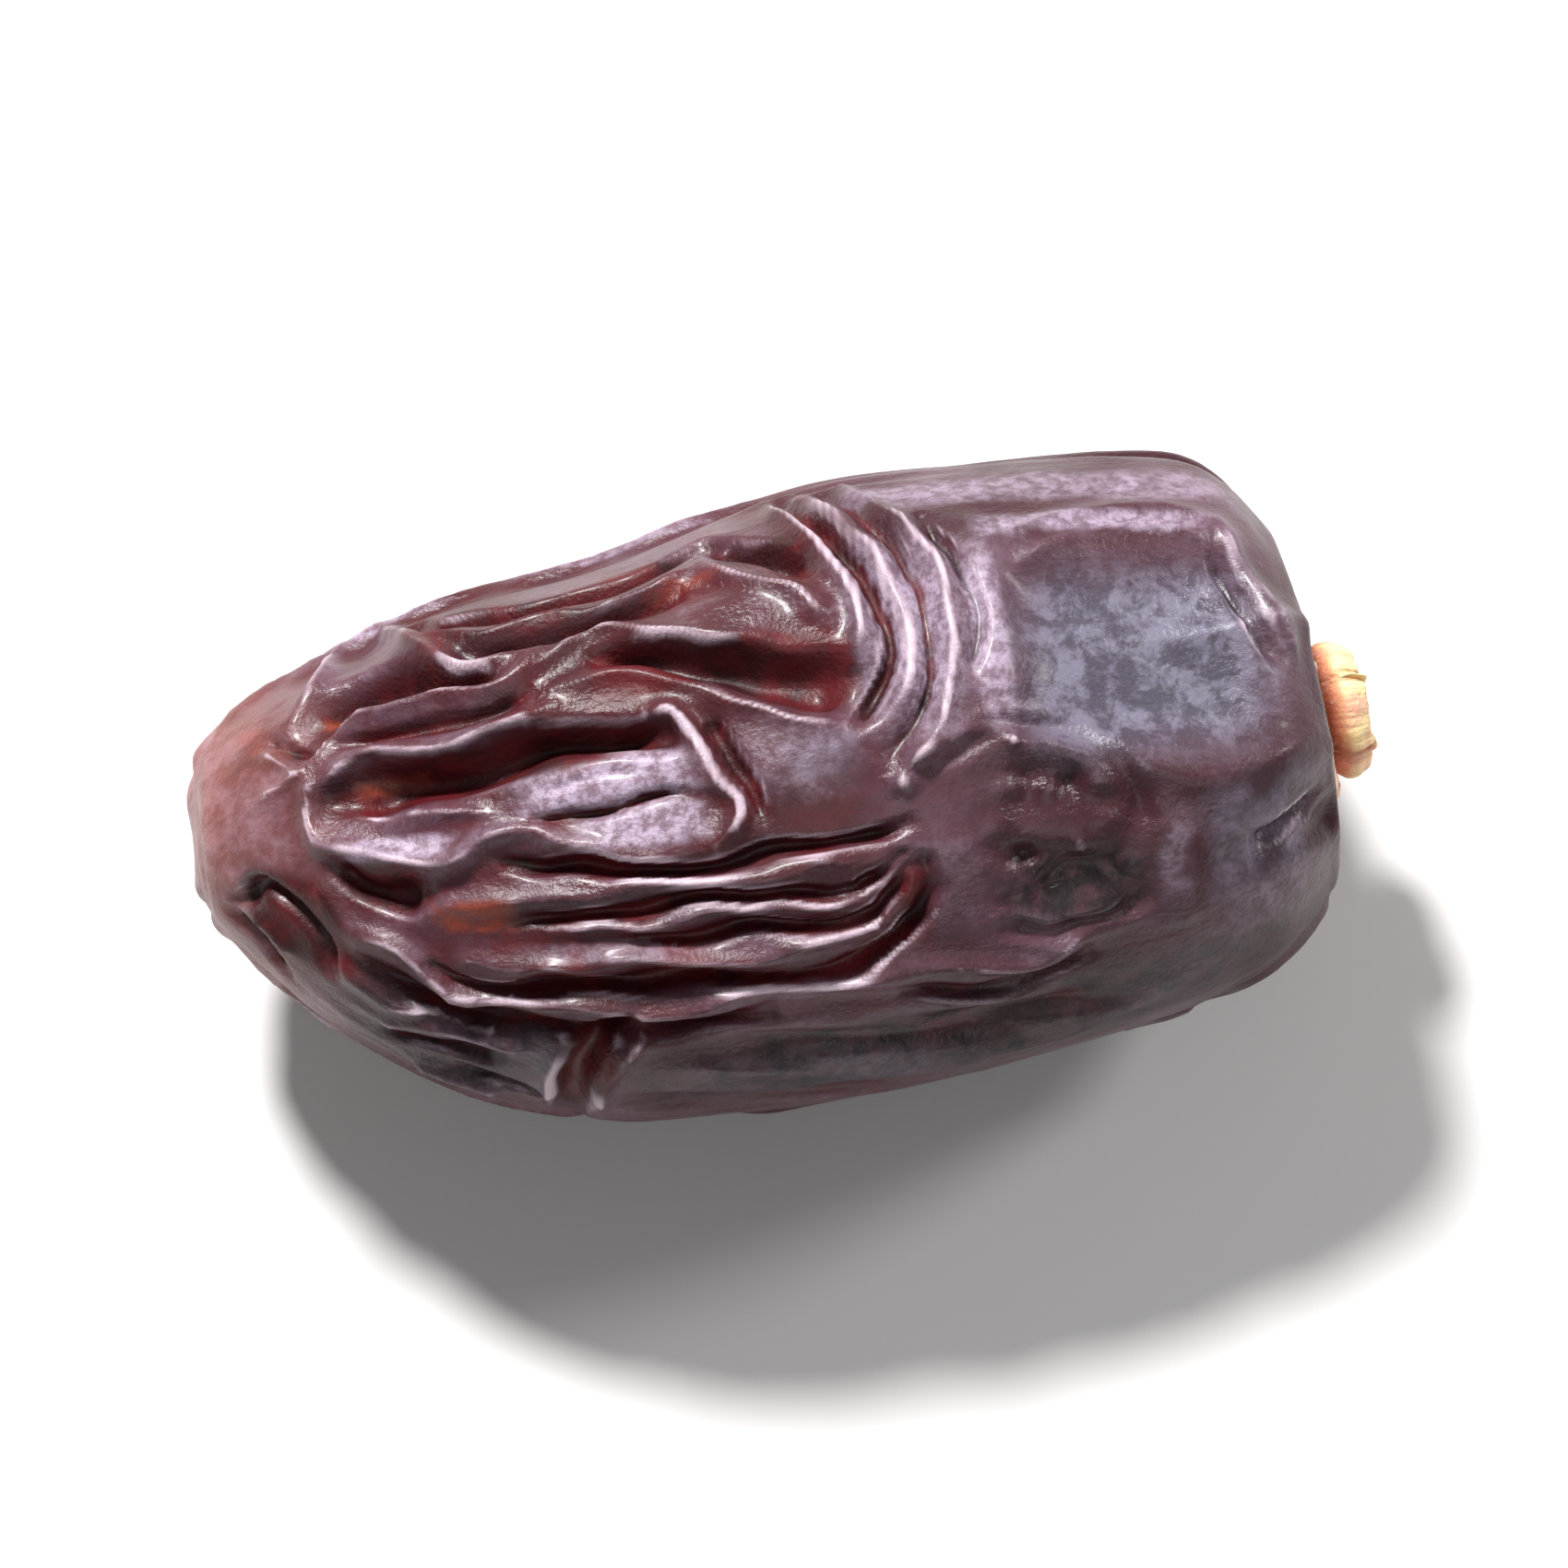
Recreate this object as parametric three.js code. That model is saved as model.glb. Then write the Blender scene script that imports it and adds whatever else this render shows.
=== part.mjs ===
// A dried date: the wrinkled fruit and the dry three-lobed cap at its stalk end.
// Millimetres, +X from the tip to the cap, +Z up, standing on the origin.
import * as THREE from 'three';
import { mergeVertices } from 'three/addons/utils/BufferGeometryUtils.js';

// Sizes of the fruit
const FRUIT_CELLS = 31; // cells along each edge of the cube that is blown up into the fruit
const MIDDLE_CLOSER = 0.05; // gathers the cells towards the middle, where the folds are
const FLAT_SPOT_RISE = 0.35; // how much of the rounded underside the resting spot takes away
const CALM_RISE = 1.3; // folds fade out over this height above the lowest point
const END_SLANT = 0.075; // the stalk end leans back towards +Y by this slope
const SLANT_FROM = 30;
const SLANT_TO = 38;
const DISH_X = 39.2; // flat floor of the dish that the cap sits in
const DISH_RADIUS = 4.9;

// Sizes of the cap
const CAP_GAP = 0.3;
const CAP_SECTORS = 60;
const CAP_LOBES = 3;
const CAP_RADIUS = 4.15; // mean radius of the lobed skirt
const LOBE_DEPTH = 0.48;
const LOBE_CURL = 0.14; // the lobes' tips lie this much nearer the dish, the notches as much further
const SKIRT_WAVE = 0.12; // a small wave on the skirt's edge
const SKIRT_WAVES = 7;
const SKIRT_WAVE_TURN = 1;
const SKIRT_THICKNESS = 0.75;
const SCAR_ROUNDNESS = 0.8; // how much of the lobes the ring round the scar has lost
const RING_OFFSET = [0.35, -0.25]; // the stalk scar stands off centre, in Y and Z

// Elevation of the side that the routes of the seen folds are drawn from
const DRAWN_FROM = 68 * Math.PI / 180;

// Outline of the fruit: x, then reach towards +Y, -Y, +Z and -Z
const STATIONS = [
  [0, 0, 0, 0, 0],
  [0.35, 3.2, 2.0, 2.5, 2.3],
  [1.6, 4.7, 3.8, 4.1, 3.8],
  [3.8, 5.6, 6.2, 5.7, 5.3],
  [6.5, 6.2, 8.3, 7.0, 6.7],
  [10, 7.6, 10.2, 8.3, 8.0],
  [15, 8.2, 11.5, 9.3, 9.0],
  [20, 9.7, 11.6, 9.9, 9.6],
  [25, 10.7, 11.3, 10.1, 9.8],
  [30, 10.7, 10.6, 9.9, 9.6],
  [34.5, 10.6, 9.6, 9.2, 8.9],
  [37.2, 10.2, 8.3, 8.7, 8.3],
  [38.4, 9.4, 7.3, 7.9, 7.6],
  [39.2, 8.1, 6.5, 7.0, 6.8],
  [39.7, 6.9, 6.0, 6.3, 6.2],
  [39.5, 5.7, 5.5, 5.6, 5.6],
  [DISH_X, DISH_RADIUS, DISH_RADIUS, DISH_RADIUS, DISH_RADIUS],
  [DISH_X, 0, 0, 0, 0],
];
const RIM_STATION = 14; // number of the station on the rim of the broad end

// Seen folds: height of the ridge (below zero a groove), half-width, and its route as x, across
const SEEN_FOLDS = [
  // the rim along the far edge, and the grooves beside it
  [0.4, 0.55, [[2, 5.6], [5.2, 7], [7.3, 7.9], [9.8, 8.5], [12.9, 8.3], [15.7, 8.7], [20.7, 10.2]]],
  [-0.65, 0.5, [[8.7, 7.1], [10.5, 7.2], [13, 7.2], [15, 7.5], [18, 8.3], [19.1, 8.7]]],
  [-0.6, 0.5, [[10.4, 5.95], [12.9, 6], [15, 6.35], [17.7, 7.1]]],
  // the first pocket near the tip, between two ridges that meet
  [0.45, 0.5, [[4, 4.3], [5.2, 5.6], [6.8, 6.8], [7.6, 7], [8.6, 6.3], [9.6, 5.6], [13, 5.8]]],
  [-0.95, 0.75, [[5.1, 4.1], [6, 4.8], [7.3, 5.3], [9, 5.05], [11.2, 4.9]]],
  [0.55, 0.5, [[5, 3.3], [6.5, 4.1], [8.7, 4.4], [10.8, 4.4], [11.9, 4.8], [13, 5.8]]],
  [-0.4, 0.45, [[5.5, 3.1], [8, 3.5], [10.8, 3.6], [12.3, 4.2]]],
  // the long pocket, with the pale wedge beside it
  [0.6, 0.5, [[4.5, 2], [5.9, 2.6], [8, 2.7], [10.1, 2.8], [11.8, 3.2], [13.1, 3.8]]],
  [-1.15, 0.78, [[5.5, 1.6], [7, 1.6], [9, 1.75], [11, 2.1], [13, 2.5], [15, 2.5], [16.8, 2.3]]],
  [0.65, 0.5, [[16.4, 3], [17.2, 2.8], [17.9, 1.6], [18.4, 0.5], [18.9, -0.5], [18, -1.6]]],
  [-0.4, 0.5, [[18.3, 2.6], [19, 1.3], [19.7, 0], [19.8, -1]]],
  [0.6, 0.5, [[4.5, 2], [4.4, 1.2], [4.5, 0.2], [5.2, -0.3], [6.8, -0.8], [8.6, -1.1], [9.5, -0.8],
    [11.8, -0.5], [14, -1.5], [16.4, -1.7], [18, -1.6]]],
  // the crimson groove across the middle and the puffy skin around it
  [-1, 0.7, [[14.7, 5.1], [16.4, 5.2], [18.4, 4.7], [20.2, 4], [21.8, 3.5], [23.5, 3.1]]],
  [0.35, 0.5, [[13.2, 4.4], [15.5, 4.4], [17.5, 3.9], [19.5, 2.9], [21.5, 2.1], [23.3, 1.9]]],
  [0.5, 0.5, [[18.9, 8.1], [19.8, 7.3], [20.7, 6.9], [21.9, 6.5], [22.7, 5.4]]],
  [-0.55, 0.55, [[19.8, 8.5], [21, 8.3], [22.2, 7.7]]],
  // the arched folds that frame the broad end
  [0.35, 0.45, [[21.5, 9.9], [22.8, 8.4], [23.6, 6.9], [23.9, 5.4], [23.6, 4]]],
  [-0.5, 0.45, [[22.2, 10], [23.7, 8.2], [24.6, 6.4], [24.8, 4.6], [24.3, 3], [23.3, 1.8]]],
  [0.4, 0.45, [[22.9, 10], [24.4, 8.3], [25.3, 6.6], [25.6, 4.8], [25.3, 3.2], [24.4, 1.7]]],
  [-0.3, 0.4, [[23.5, 10], [25.1, 8.4], [26, 6.6], [26.3, 4.8], [26, 3.1], [25.2, 1.6]]],
  [0.45, 0.45, [[24.1, 10.1], [25.8, 8.5], [26.8, 6.7], [27.1, 4.8], [26.8, 3.1], [26.1, 1.5],
    [25.1, 0.2]]],
  [-0.4, 0.45, [[26.6, 8.7], [27.6, 6.8], [27.9, 5], [27.6, 3.2]]],
  // the frame of the large dent
  [-0.25, 0.5, [[25.8, 0.1], [27.5, 1], [29.2, 1], [31, 0.3], [32.4, -1.2], [32.9, -3]]],
  [-0.3, 0.5, [[27.5, -5.8], [29.4, -6.1], [31.2, -5.9], [32.5, -5.2]]],
  [0.2, 0.7, [[28.8, 9], [29, 6.5], [29, 4], [29.2, 1.8]]],
  [0.22, 0.55, [[28.6, 7.4], [30, 8], [33, 8.2], [36, 7.9], [37.6, 7]]],
  [0.4, 0.5, [[37.3, 7.2], [37.9, 5.6], [38.4, 3.9], [38.8, 2.2]]],
  [0.3, 0.6, [[28.9, 0.6], [32.1, -0.4], [33.9, -1.2], [36, -1.5], [37.9, -0.8], [39, -0.3]]],
  [0.2, 0.6, [[33.3, -2.6], [33.6, -4.5], [33.9, -6.6]]],
  [-0.3, 0.45, [[36.6, -4], [37.6, -3.5], [38.6, -2.7]]],
  // the bundle of folds below the long pocket
  [-0.55, 0.5, [[4.9, -0.8], [5.9, -1.7], [6.8, -2.1], [7.9, -2.3]]],
  [-0.55, 0.45, [[10.8, -1.6], [12.9, -1.8], [15, -2.3], [19.8, -2.3], [22.8, -2.1], [24.6, -1.7]]],
  [0.45, 0.5, [[8, -2.8], [12, -2.8], [17, -3], [23.5, -3]]],
  [-0.55, 0.5, [[10.8, -3.9], [12.9, -4], [16.4, -4.1], [19.8, -4.2], [23, -4.2], [24.3, -3.2]]],
  [0.55, 0.5, [[9.3, -4.5], [10.8, -4.9], [12.9, -5.1], [15.7, -5.3], [21.4, -5.3], [23, -5.1]]],
  [-0.65, 0.5, [[7.9, -4.8], [8.7, -5.4], [12.9, -5.9], [15.7, -6.2], [22.8, -6.2], [24.2, -5.5],
    [25.1, -4.1], [24.9, -3.2]]],
  [0.5, 0.5, [[4.3, -1.8], [5, -3], [6.8, -4], [8.4, -5.7], [9.8, -5.9], [11.9, -6.5],
    [15, -7.2], [18.4, -6.9], [23.8, -6.9], [28.6, -7], [29.7, -6.6], [31.9, -5.9]]],
  [-0.55, 0.5, [[5.7, -4.3], [8.7, -6.4], [10.8, -7.2], [12.9, -7.7], [15.7, -8.1], [19.1, -7.9],
    [24, -7.8], [27.6, -7.9], [30.6, -7]]],
  // the near edge by the tip
  [0.45, 0.45, [[14.9, -7.7], [14.1, -8.5], [13.4, -9.4], [13, -10.4]]],
  [-0.7, 0.55, [[14.3, -7.2], [13.4, -7.7], [12.7, -8.7], [12.1, -9.8], [11.8, -10.7]]],
  [0.35, 0.45, [[12.4, -7.5], [11.7, -8.6], [11.1, -9.8]]],
  [-0.45, 0.5, [[5.8, -6.6], [7.8, -7.4], [9.8, -8.2]]],
  [0.4, 0.5, [[6.8, -7.8], [8.3, -8.6], [9.8, -9.4]]],
  // the soft waves of the smooth lower side
  [0.25, 0.8, [[15.5, -9.3], [20, -9.7], [25, -10.2], [30, -9.6], [34, -8.2]]],
  [-0.25, 0.7, [[17, -8.7], [21, -8.9], [26, -9.1], [31, -8.6]]],
  [-0.25, 0.7, [[14.5, -10.4], [19, -10.8], [24, -10.9]]],
  // small folds on the smooth tip
  [-0.45, 0.5, [[1.2, -1.6], [2.5, -1.4], [3.2, -1.9], [4.1, -3.2], [4.3, -4.5]]],
];

// Seen dents and swellings: height, x, across, half-length, half-breadth, crispness of the edge
const SEEN_DENTS = [
  [-0.9, 33.3, 3.6, 4.3, 3.4, 6], // the large dent of the broad end
  [-0.4, 29.9, -1.8, 2.9, 2.3, 3], // the rough hollow below it
  [-0.35, 30.2, -4.6, 2.6, 1.3, 3],
  [0.5, 14.6, 0.9, 3.4, 0.9, 4], // the pale wedge
  [0.4, 15.5, -0.8, 2.3, 0.7, 4],
  [0.4, 19.6, 5.9, 2.6, 1.1, 3], // the puffy patch above the crimson groove
  [0.3, 21.8, 1, 2, 1.4, 3],
  [-0.35, 27.5, -9, 3.5, 0.8, 2],
  [0.4, 25.6, 0.6, 0.5, 0.5, 2],
  [0.35, 24.7, -0.5, 0.5, 0.4, 2],
];

// Rule for the folds on the far side: rows of lengthwise ridges with a groove beside each
const FAR_SEED = 4711;
const FAR_ROWS = 11;
const FAR_FROM = 90; // degrees round from +Z towards +Y
const FAR_TO = 246;
const FAR_STEP = 2.6; // mm between two points of a route
const FAR_START = [2.5, 6]; // x of the first point
const FAR_LENGTH = [7, 17];
const FAR_PAUSE = [0.8, 3];
const FAR_END = 37;
const FAR_SWAY = 9; // degrees from point to point
const FAR_SCATTER = 0.5; // how far a ridge may start from its row, as a part of the spacing
const FAR_HEIGHT = [0.35, 0.65];
const FAR_WIDTH = [0.55, 0.75];
const GROOVE_SHARE = 0.9; // a groove's half-width against its ridge's
const FAR_CALM_FROM = 22; // towards the cap the skin is smoother
const FAR_CALM_TO = 34;
const FAR_CALM = 0.45;
const FAR_DENTS = 9;
const FAR_DENT_DEPTH = [0.3, 0.75];
const FAR_DENT_SIZE = [1.6, 3.4];
const FAR_DENT_BREADTH = 0.7; // against its length
const FAR_DENT_CRISPNESS = 3;

// Puckers: short folds that run from the rim of the dish down onto the sides
const PUCKER_COUNT = 9;
const PUCKER_SCATTER = 0.6; // part of the spacing by which a pucker may be out of place
const PUCKER_LEAN = 0.3; // radians
const PUCKER_END_X = [33.5, 36.5];
const PUCKER_HEIGHT = [0.2, 0.4];
const PUCKER_WIDTH = [0.6, 0.85];
const PUCKER_POINTS = 5;

// The slow sway that keeps every fold from running straight
const SWAYS = [
  { reach: 0.15, waves: [[1.3, 0.9, 0.4], [0.8, 1.4, 1.7], [1.1, 0.7, 2.9]] },
  { reach: 0.09, waves: [[2.3, -1.6, 1.2], [-1.9, 2.7, 0.8], [1.4, -0.9, 3.1]] },
];
const FOLD_FADE = 0.14; // part of a route over which a fold rises to its full height
const FOLD_END_SHARE = 0.35; // how much of its height a fold has at its ends
const DISH_CALM = [0.2, 1.2]; // folds fade out over these distances from the dish
const RISE_LIMIT = 1.3; // where ridges meet, they rise no higher than this, before the softening
const REACH = 3.2; // a fold is felt as far as this many half-widths
const BOLDNESS = 1.45; // makes up for the height that the softening takes
const SOFTENING = [0.6, 0.4]; // share of its neighbours' mean height that a point takes, twice over
const HALVINGS = 40; // rounds of a search that halves its range each time

const smooth = (from, to, x) => {
  const t = Math.min(Math.max((x - from) / (to - from), 0), 1);
  return t * t * (3 - 2 * t);
};

// A repeatable stream of numbers between 0 and 1
function stream(seed) {
  let state = seed;
  return () => {
    state = (state * 16807) % 2147483647;
    return state / 2147483647;
  };
}

// Slope of a column at a station, level where the column turns round
function slopeAt(i, column) {
  if (i === 0 || i === STATIONS.length - 1) return 0;
  const before = STATIONS[i][column] - STATIONS[i - 1][column];
  const after = STATIONS[i + 1][column] - STATIONS[i][column];
  return before * after > 0 ? 2 * before * after / (before + after) : 0;
}

// A column of the outline between two stations, as a cubic that doesn't swing past them
function outline(k, column) {
  const i = Math.min(Math.floor(k), STATIONS.length - 2);
  const f = k - i;
  const from = STATIONS[i][column];
  const to = STATIONS[i + 1][column];
  const first = i === 0 && column > 0 ? 2 * (to - from) : slopeAt(i, column);
  const last = slopeAt(i + 1, column);
  return from * (1 + 2 * f) * (1 - f) ** 2 + to * f * f * (3 - 2 * f)
    + first * f * (1 - f) ** 2 - last * f * f * (1 - f);
}

// How far along the skin each station lies, from 0 at the tip to 1 at the middle of the dish
function stationPlaces() {
  const reach = (s) => (s[1] + s[2] + s[3] + s[4]) / 4;
  const places = [0];
  for (let i = 1; i < STATIONS.length; i++) {
    const dx = STATIONS[i][0] - STATIONS[i - 1][0];
    const dr = reach(STATIONS[i]) - reach(STATIONS[i - 1]);
    places.push(places[i - 1] + Math.hypot(dx, dr));
  }
  const all = places[places.length - 1];
  return places.map((place) => place / all);
}

const PLACES = stationPlaces();

// The smooth fruit under its folds, at station number k and at an angle from +Z towards +Y
function plainSkin(k, angle) {
  const across = Math.sin(angle);
  const up = Math.cos(angle);
  const y = across * outline(k, across > 0 ? 1 : 2);
  const z = up * outline(k, up > 0 ? 3 : 4);
  const x = outline(k, 0);
  return new THREE.Vector3(x - END_SLANT * y * smooth(SLANT_FROM, SLANT_TO, x), y, z);
}

// Station number for a place along the skin
function stationAt(place) {
  let i = 0;
  while (i < PLACES.length - 2 && PLACES[i + 1] < place) i++;
  return i + (place - PLACES[i]) / (PLACES[i + 1] - PLACES[i]);
}

// Station number for an x on the way from the tip to the rim of the broad end
function stationOfX(x) {
  let low = 0;
  let high = RIM_STATION;
  for (let n = 0; n < HALVINGS; n++) {
    const middle = (low + high) / 2;
    if (outline(middle, 0) < x) low = middle;
    else high = middle;
  }
  return low;
}

// The point of the plain skin that is seen at x and this far across, from DRAWN_FROM
function seenPoint(x, across) {
  const k = stationOfX(x);
  let far = DRAWN_FROM;
  let near = DRAWN_FROM - Math.PI;
  for (let n = 0; n < HALVINGS; n++) {
    const middle = (far + near) / 2;
    const p = plainSkin(k, middle);
    if (p.y * Math.sin(DRAWN_FROM) + p.z * Math.cos(DRAWN_FROM) > across) far = middle;
    else near = middle;
  }
  return plainSkin(k, far);
}

function seenFolds() {
  return SEEN_FOLDS.map(([height, width, route]) => ({
    height,
    width,
    points: route.map(([x, across]) => seenPoint(x, across)),
  }));
}

function farFolds(random) {
  const folds = [];
  const pick = ([low, high]) => low + (high - low) * random();
  const spacing = (FAR_TO - FAR_FROM) / FAR_ROWS;
  for (let row = 0; row < FAR_ROWS; row++) {
    let x = pick(FAR_START);
    while (x < FAR_END - FAR_LENGTH[0] / 2) {
      const end = Math.min(x + pick(FAR_LENGTH), FAR_END);
      const height = pick(FAR_HEIGHT) * (1 - FAR_CALM * smooth(FAR_CALM_FROM, FAR_CALM_TO, x));
      const width = pick(FAR_WIDTH);
      let degrees = FAR_FROM + (row + FAR_SCATTER * random()) * spacing;
      const ridge = [];
      const groove = [];
      for (; x < end; x += FAR_STEP) {
        degrees += FAR_SWAY * (random() - 0.5);
        const k = stationOfX(x);
        ridge.push(plainSkin(k, degrees * Math.PI / 180));
        groove.push(plainSkin(k, (degrees + spacing / 2) * Math.PI / 180));
      }
      if (ridge.length > 1) {
        folds.push({ height, width, points: ridge });
        folds.push({ height: -height, width: GROOVE_SHARE * width, points: groove });
      }
      x = end + pick(FAR_PAUSE);
    }
  }
  return folds;
}

function puckers(random) {
  const folds = [];
  const pick = ([low, high]) => low + (high - low) * random();
  for (let n = 0; n < PUCKER_COUNT; n++) {
    const angle = (n + PUCKER_SCATTER * random()) / PUCKER_COUNT * 2 * Math.PI;
    const lean = PUCKER_LEAN * (random() - 0.5);
    const end = stationOfX(pick(PUCKER_END_X));
    const points = [];
    for (let i = 0; i < PUCKER_POINTS; i++) {
      const f = i / (PUCKER_POINTS - 1);
      points.push(plainSkin(RIM_STATION + (end - RIM_STATION) * f, angle + lean * f));
    }
    const height = (n % 2 ? -1 : 1) * pick(PUCKER_HEIGHT);
    folds.push({ height, width: pick(PUCKER_WIDTH), points });
  }
  return folds;
}

// A dent or swelling with its own axes: along the fruit, across it and out of the skin
function patch(height, centre, halfLength, halfBreadth, crispness) {
  const out = new THREE.Vector3(0, centre.y, centre.z).normalize();
  const side = new THREE.Vector3(0, out.z, -out.y);
  return { height, centre, out, side, halfLength, halfBreadth, crispness };
}

function seenDents() {
  return SEEN_DENTS.map(([height, x, across, halfLength, halfBreadth, crispness]) =>
    patch(height, seenPoint(x, across), halfLength, halfBreadth, crispness));
}

function farDents(random) {
  const dents = [];
  const pick = ([low, high]) => low + (high - low) * random();
  for (let n = 0; n < FAR_DENTS; n++) {
    const x = FAR_START[1] + (FAR_END - FAR_START[1]) * (n + random()) / FAR_DENTS;
    const degrees = FAR_FROM + (FAR_TO - FAR_FROM) * random();
    const centre = plainSkin(stationOfX(x), degrees * Math.PI / 180);
    const halfLength = pick(FAR_DENT_SIZE);
    const halfBreadth = FAR_DENT_BREADTH * halfLength;
    dents.push(patch(-pick(FAR_DENT_DEPTH), centre, halfLength, halfBreadth, FAR_DENT_CRISPNESS));
  }
  return dents;
}

function swayed(p) {
  const q = p.clone();
  for (const { reach, waves } of SWAYS) {
    const [a, b, c] = waves.map(([fx, fy, fz]) => Math.sin(fx * p.x + fy * p.y + fz * p.z));
    q.add(new THREE.Vector3(reach * a, reach * b, reach * c));
  }
  return q;
}

// Height that one fold gives the skin at p
function foldHeight(fold, p) {
  const line = new THREE.Line3();
  const near = new THREE.Vector3();
  const pieces = fold.points.length - 1;
  let best = Infinity;
  let along = 0;
  for (let i = 0; i < pieces; i++) {
    line.set(fold.points[i], fold.points[i + 1]);
    const t = line.closestPointToPointParameter(p, true);
    const distance = line.at(t, near).distanceTo(p);
    if (distance < best) {
      best = distance;
      along = (i + t) / pieces;
    }
  }
  if (best > REACH * fold.width) return 0;
  const inner = smooth(0, FOLD_FADE, Math.min(along, 1 - along));
  const rise = FOLD_END_SHARE + (1 - FOLD_END_SHARE) * inner;
  return fold.height * rise * Math.exp(-((best / fold.width) ** 2));
}

// Height that one dent or swelling gives the skin at p
function dentHeight(dent, p) {
  const away = p.clone().sub(dent.centre);
  if (p.y * dent.out.y + p.z * dent.out.z < 0) return 0;
  const l = away.x / dent.halfLength;
  const b = away.dot(dent.side) / dent.halfBreadth;
  const reach = Math.abs(l) ** dent.crispness + Math.abs(b) ** dent.crispness;
  return dent.height * Math.exp(-reach);
}

// The fruit: a cube blown up into the plain skin, then raised into folds along its normals
function fruitGeometry() {
  const box = new THREE.BoxGeometry(2, 2, 2, FRUIT_CELLS, FRUIT_CELLS, FRUIT_CELLS);
  box.deleteAttribute('normal');
  box.deleteAttribute('uv');
  const geometry = mergeVertices(box);
  const position = geometry.attributes.position;
  const p = new THREE.Vector3();
  for (let i = 0; i < position.count; i++) {
    p.fromBufferAttribute(position, i);
    p.set(Math.tan(p.x * Math.PI / 4), Math.tan(p.y * Math.PI / 4), Math.tan(p.z * Math.PI / 4));
    p.normalize();
    const even = Math.acos(Math.min(Math.max(-p.x, -1), 1)) / Math.PI;
    const place = even + MIDDLE_CLOSER * Math.sin(2 * Math.PI * even);
    p.copy(plainSkin(stationAt(place), Math.atan2(p.y, p.z)));
    position.setXYZ(i, p.x, p.y, p.z);
  }
  geometry.computeVertexNormals();
  geometry.computeBoundingBox();
  raiseFolds(geometry);
  return geometry;
}

function raiseFolds(geometry) {
  const random = stream(FAR_SEED);
  const folds = [...seenFolds(), ...farFolds(random), ...puckers(random)];
  const dents = [...seenDents(), ...farDents(random)];
  const position = geometry.attributes.position;
  const normal = geometry.attributes.normal;
  const lowest = geometry.boundingBox.min.z;
  const p = new THREE.Vector3();
  const out = new THREE.Vector3();
  let heights = new Float64Array(position.count);
  for (let i = 0; i < position.count; i++) {
    p.fromBufferAttribute(position, i);
    const q = swayed(p);
    for (const fold of folds) heights[i] += foldHeight(fold, q);
    heights[i] *= BOLDNESS;
    for (const dent of dents) heights[i] += dentHeight(dent, q);
    if (heights[i] > 0) heights[i] = RISE_LIMIT * Math.tanh(heights[i] / RISE_LIMIT);
    heights[i] *= smooth(0, CALM_RISE, p.z - lowest);
    const fromDish = Math.hypot(p.y, p.z) - DISH_RADIUS + DISH_X - p.x;
    heights[i] *= smooth(...DISH_CALM, fromDish);
  }
  for (const share of SOFTENING) heights = softened(heights, geometry.index.array, share);
  for (let i = 0; i < position.count; i++) {
    p.fromBufferAttribute(position, i);
    out.fromBufferAttribute(normal, i);
    p.addScaledVector(out, heights[i]);
    position.setXYZ(i, p.x, p.y, Math.max(p.z, lowest + FLAT_SPOT_RISE));
  }
}

// Heights with each drawn towards the mean of its neighbours, so that no fold is cut into teeth
function softened(heights, corners, share) {
  const sum = new Float64Array(heights.length);
  const count = new Float64Array(heights.length);
  for (let i = 0; i < corners.length; i += 3) {
    for (let j = 0; j < 3; j++) {
      const here = corners[i + j];
      sum[here] += heights[corners[i + (j + 1) % 3]] + heights[corners[i + (j + 2) % 3]];
      count[here] += 2;
    }
  }
  return heights.map((height, i) => height * (1 - share) + sum[i] / count[i] * share);
}

// Outline of the cap's skirt: three lobes with a small wave
function skirtRadius(angle) {
  const lobes = Math.cos(CAP_LOBES * angle);
  return CAP_RADIUS + LOBE_DEPTH * lobes + SKIRT_WAVE * Math.cos(SKIRT_WAVES * angle + SKIRT_WAVE_TURN);
}

// Rings of the cap from the middle of its underside, over the rim and the neck, to the middle of
// the scar: part of the skirt's radius, height above the dish, and how far the ring goes with the scar
const CAP_RINGS = [
  [0.5, 0, 0],
  [0.94, 0, 0],
  [1, 0.25, 0],
  [0.98, SKIRT_THICKNESS, 0],
  [0.88, SKIRT_THICKNESS + 0.1, 0],
  [0.7, SKIRT_THICKNESS, 0.4],
  [0.52, SKIRT_THICKNESS + 0.2, 0.9],
  [0.54, 1.45, 1],
  [0.6, 1.9, 1],
  [0.57, 2.4, 1],
  [0.46, 2.75, 1],
  [0.36, 2.7, 1],
  [0.2, 2.2, 1],
];

function capPoint([share, height, follow], angle) {
  const lobed = skirtRadius(angle) - CAP_RADIUS;
  const radius = share * (CAP_RADIUS + lobed * (1 - SCAR_ROUNDNESS * follow));
  const y = radius * Math.sin(angle) + follow * RING_OFFSET[0];
  const z = radius * Math.cos(angle) + follow * RING_OFFSET[1];
  const curl = height < SKIRT_THICKNESS ? 0 : LOBE_CURL * (1 - follow) * Math.cos(CAP_LOBES * angle);
  const x = DISH_X + CAP_GAP + height - curl - END_SLANT * y;
  return new THREE.Vector3(x, y, z);
}

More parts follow.
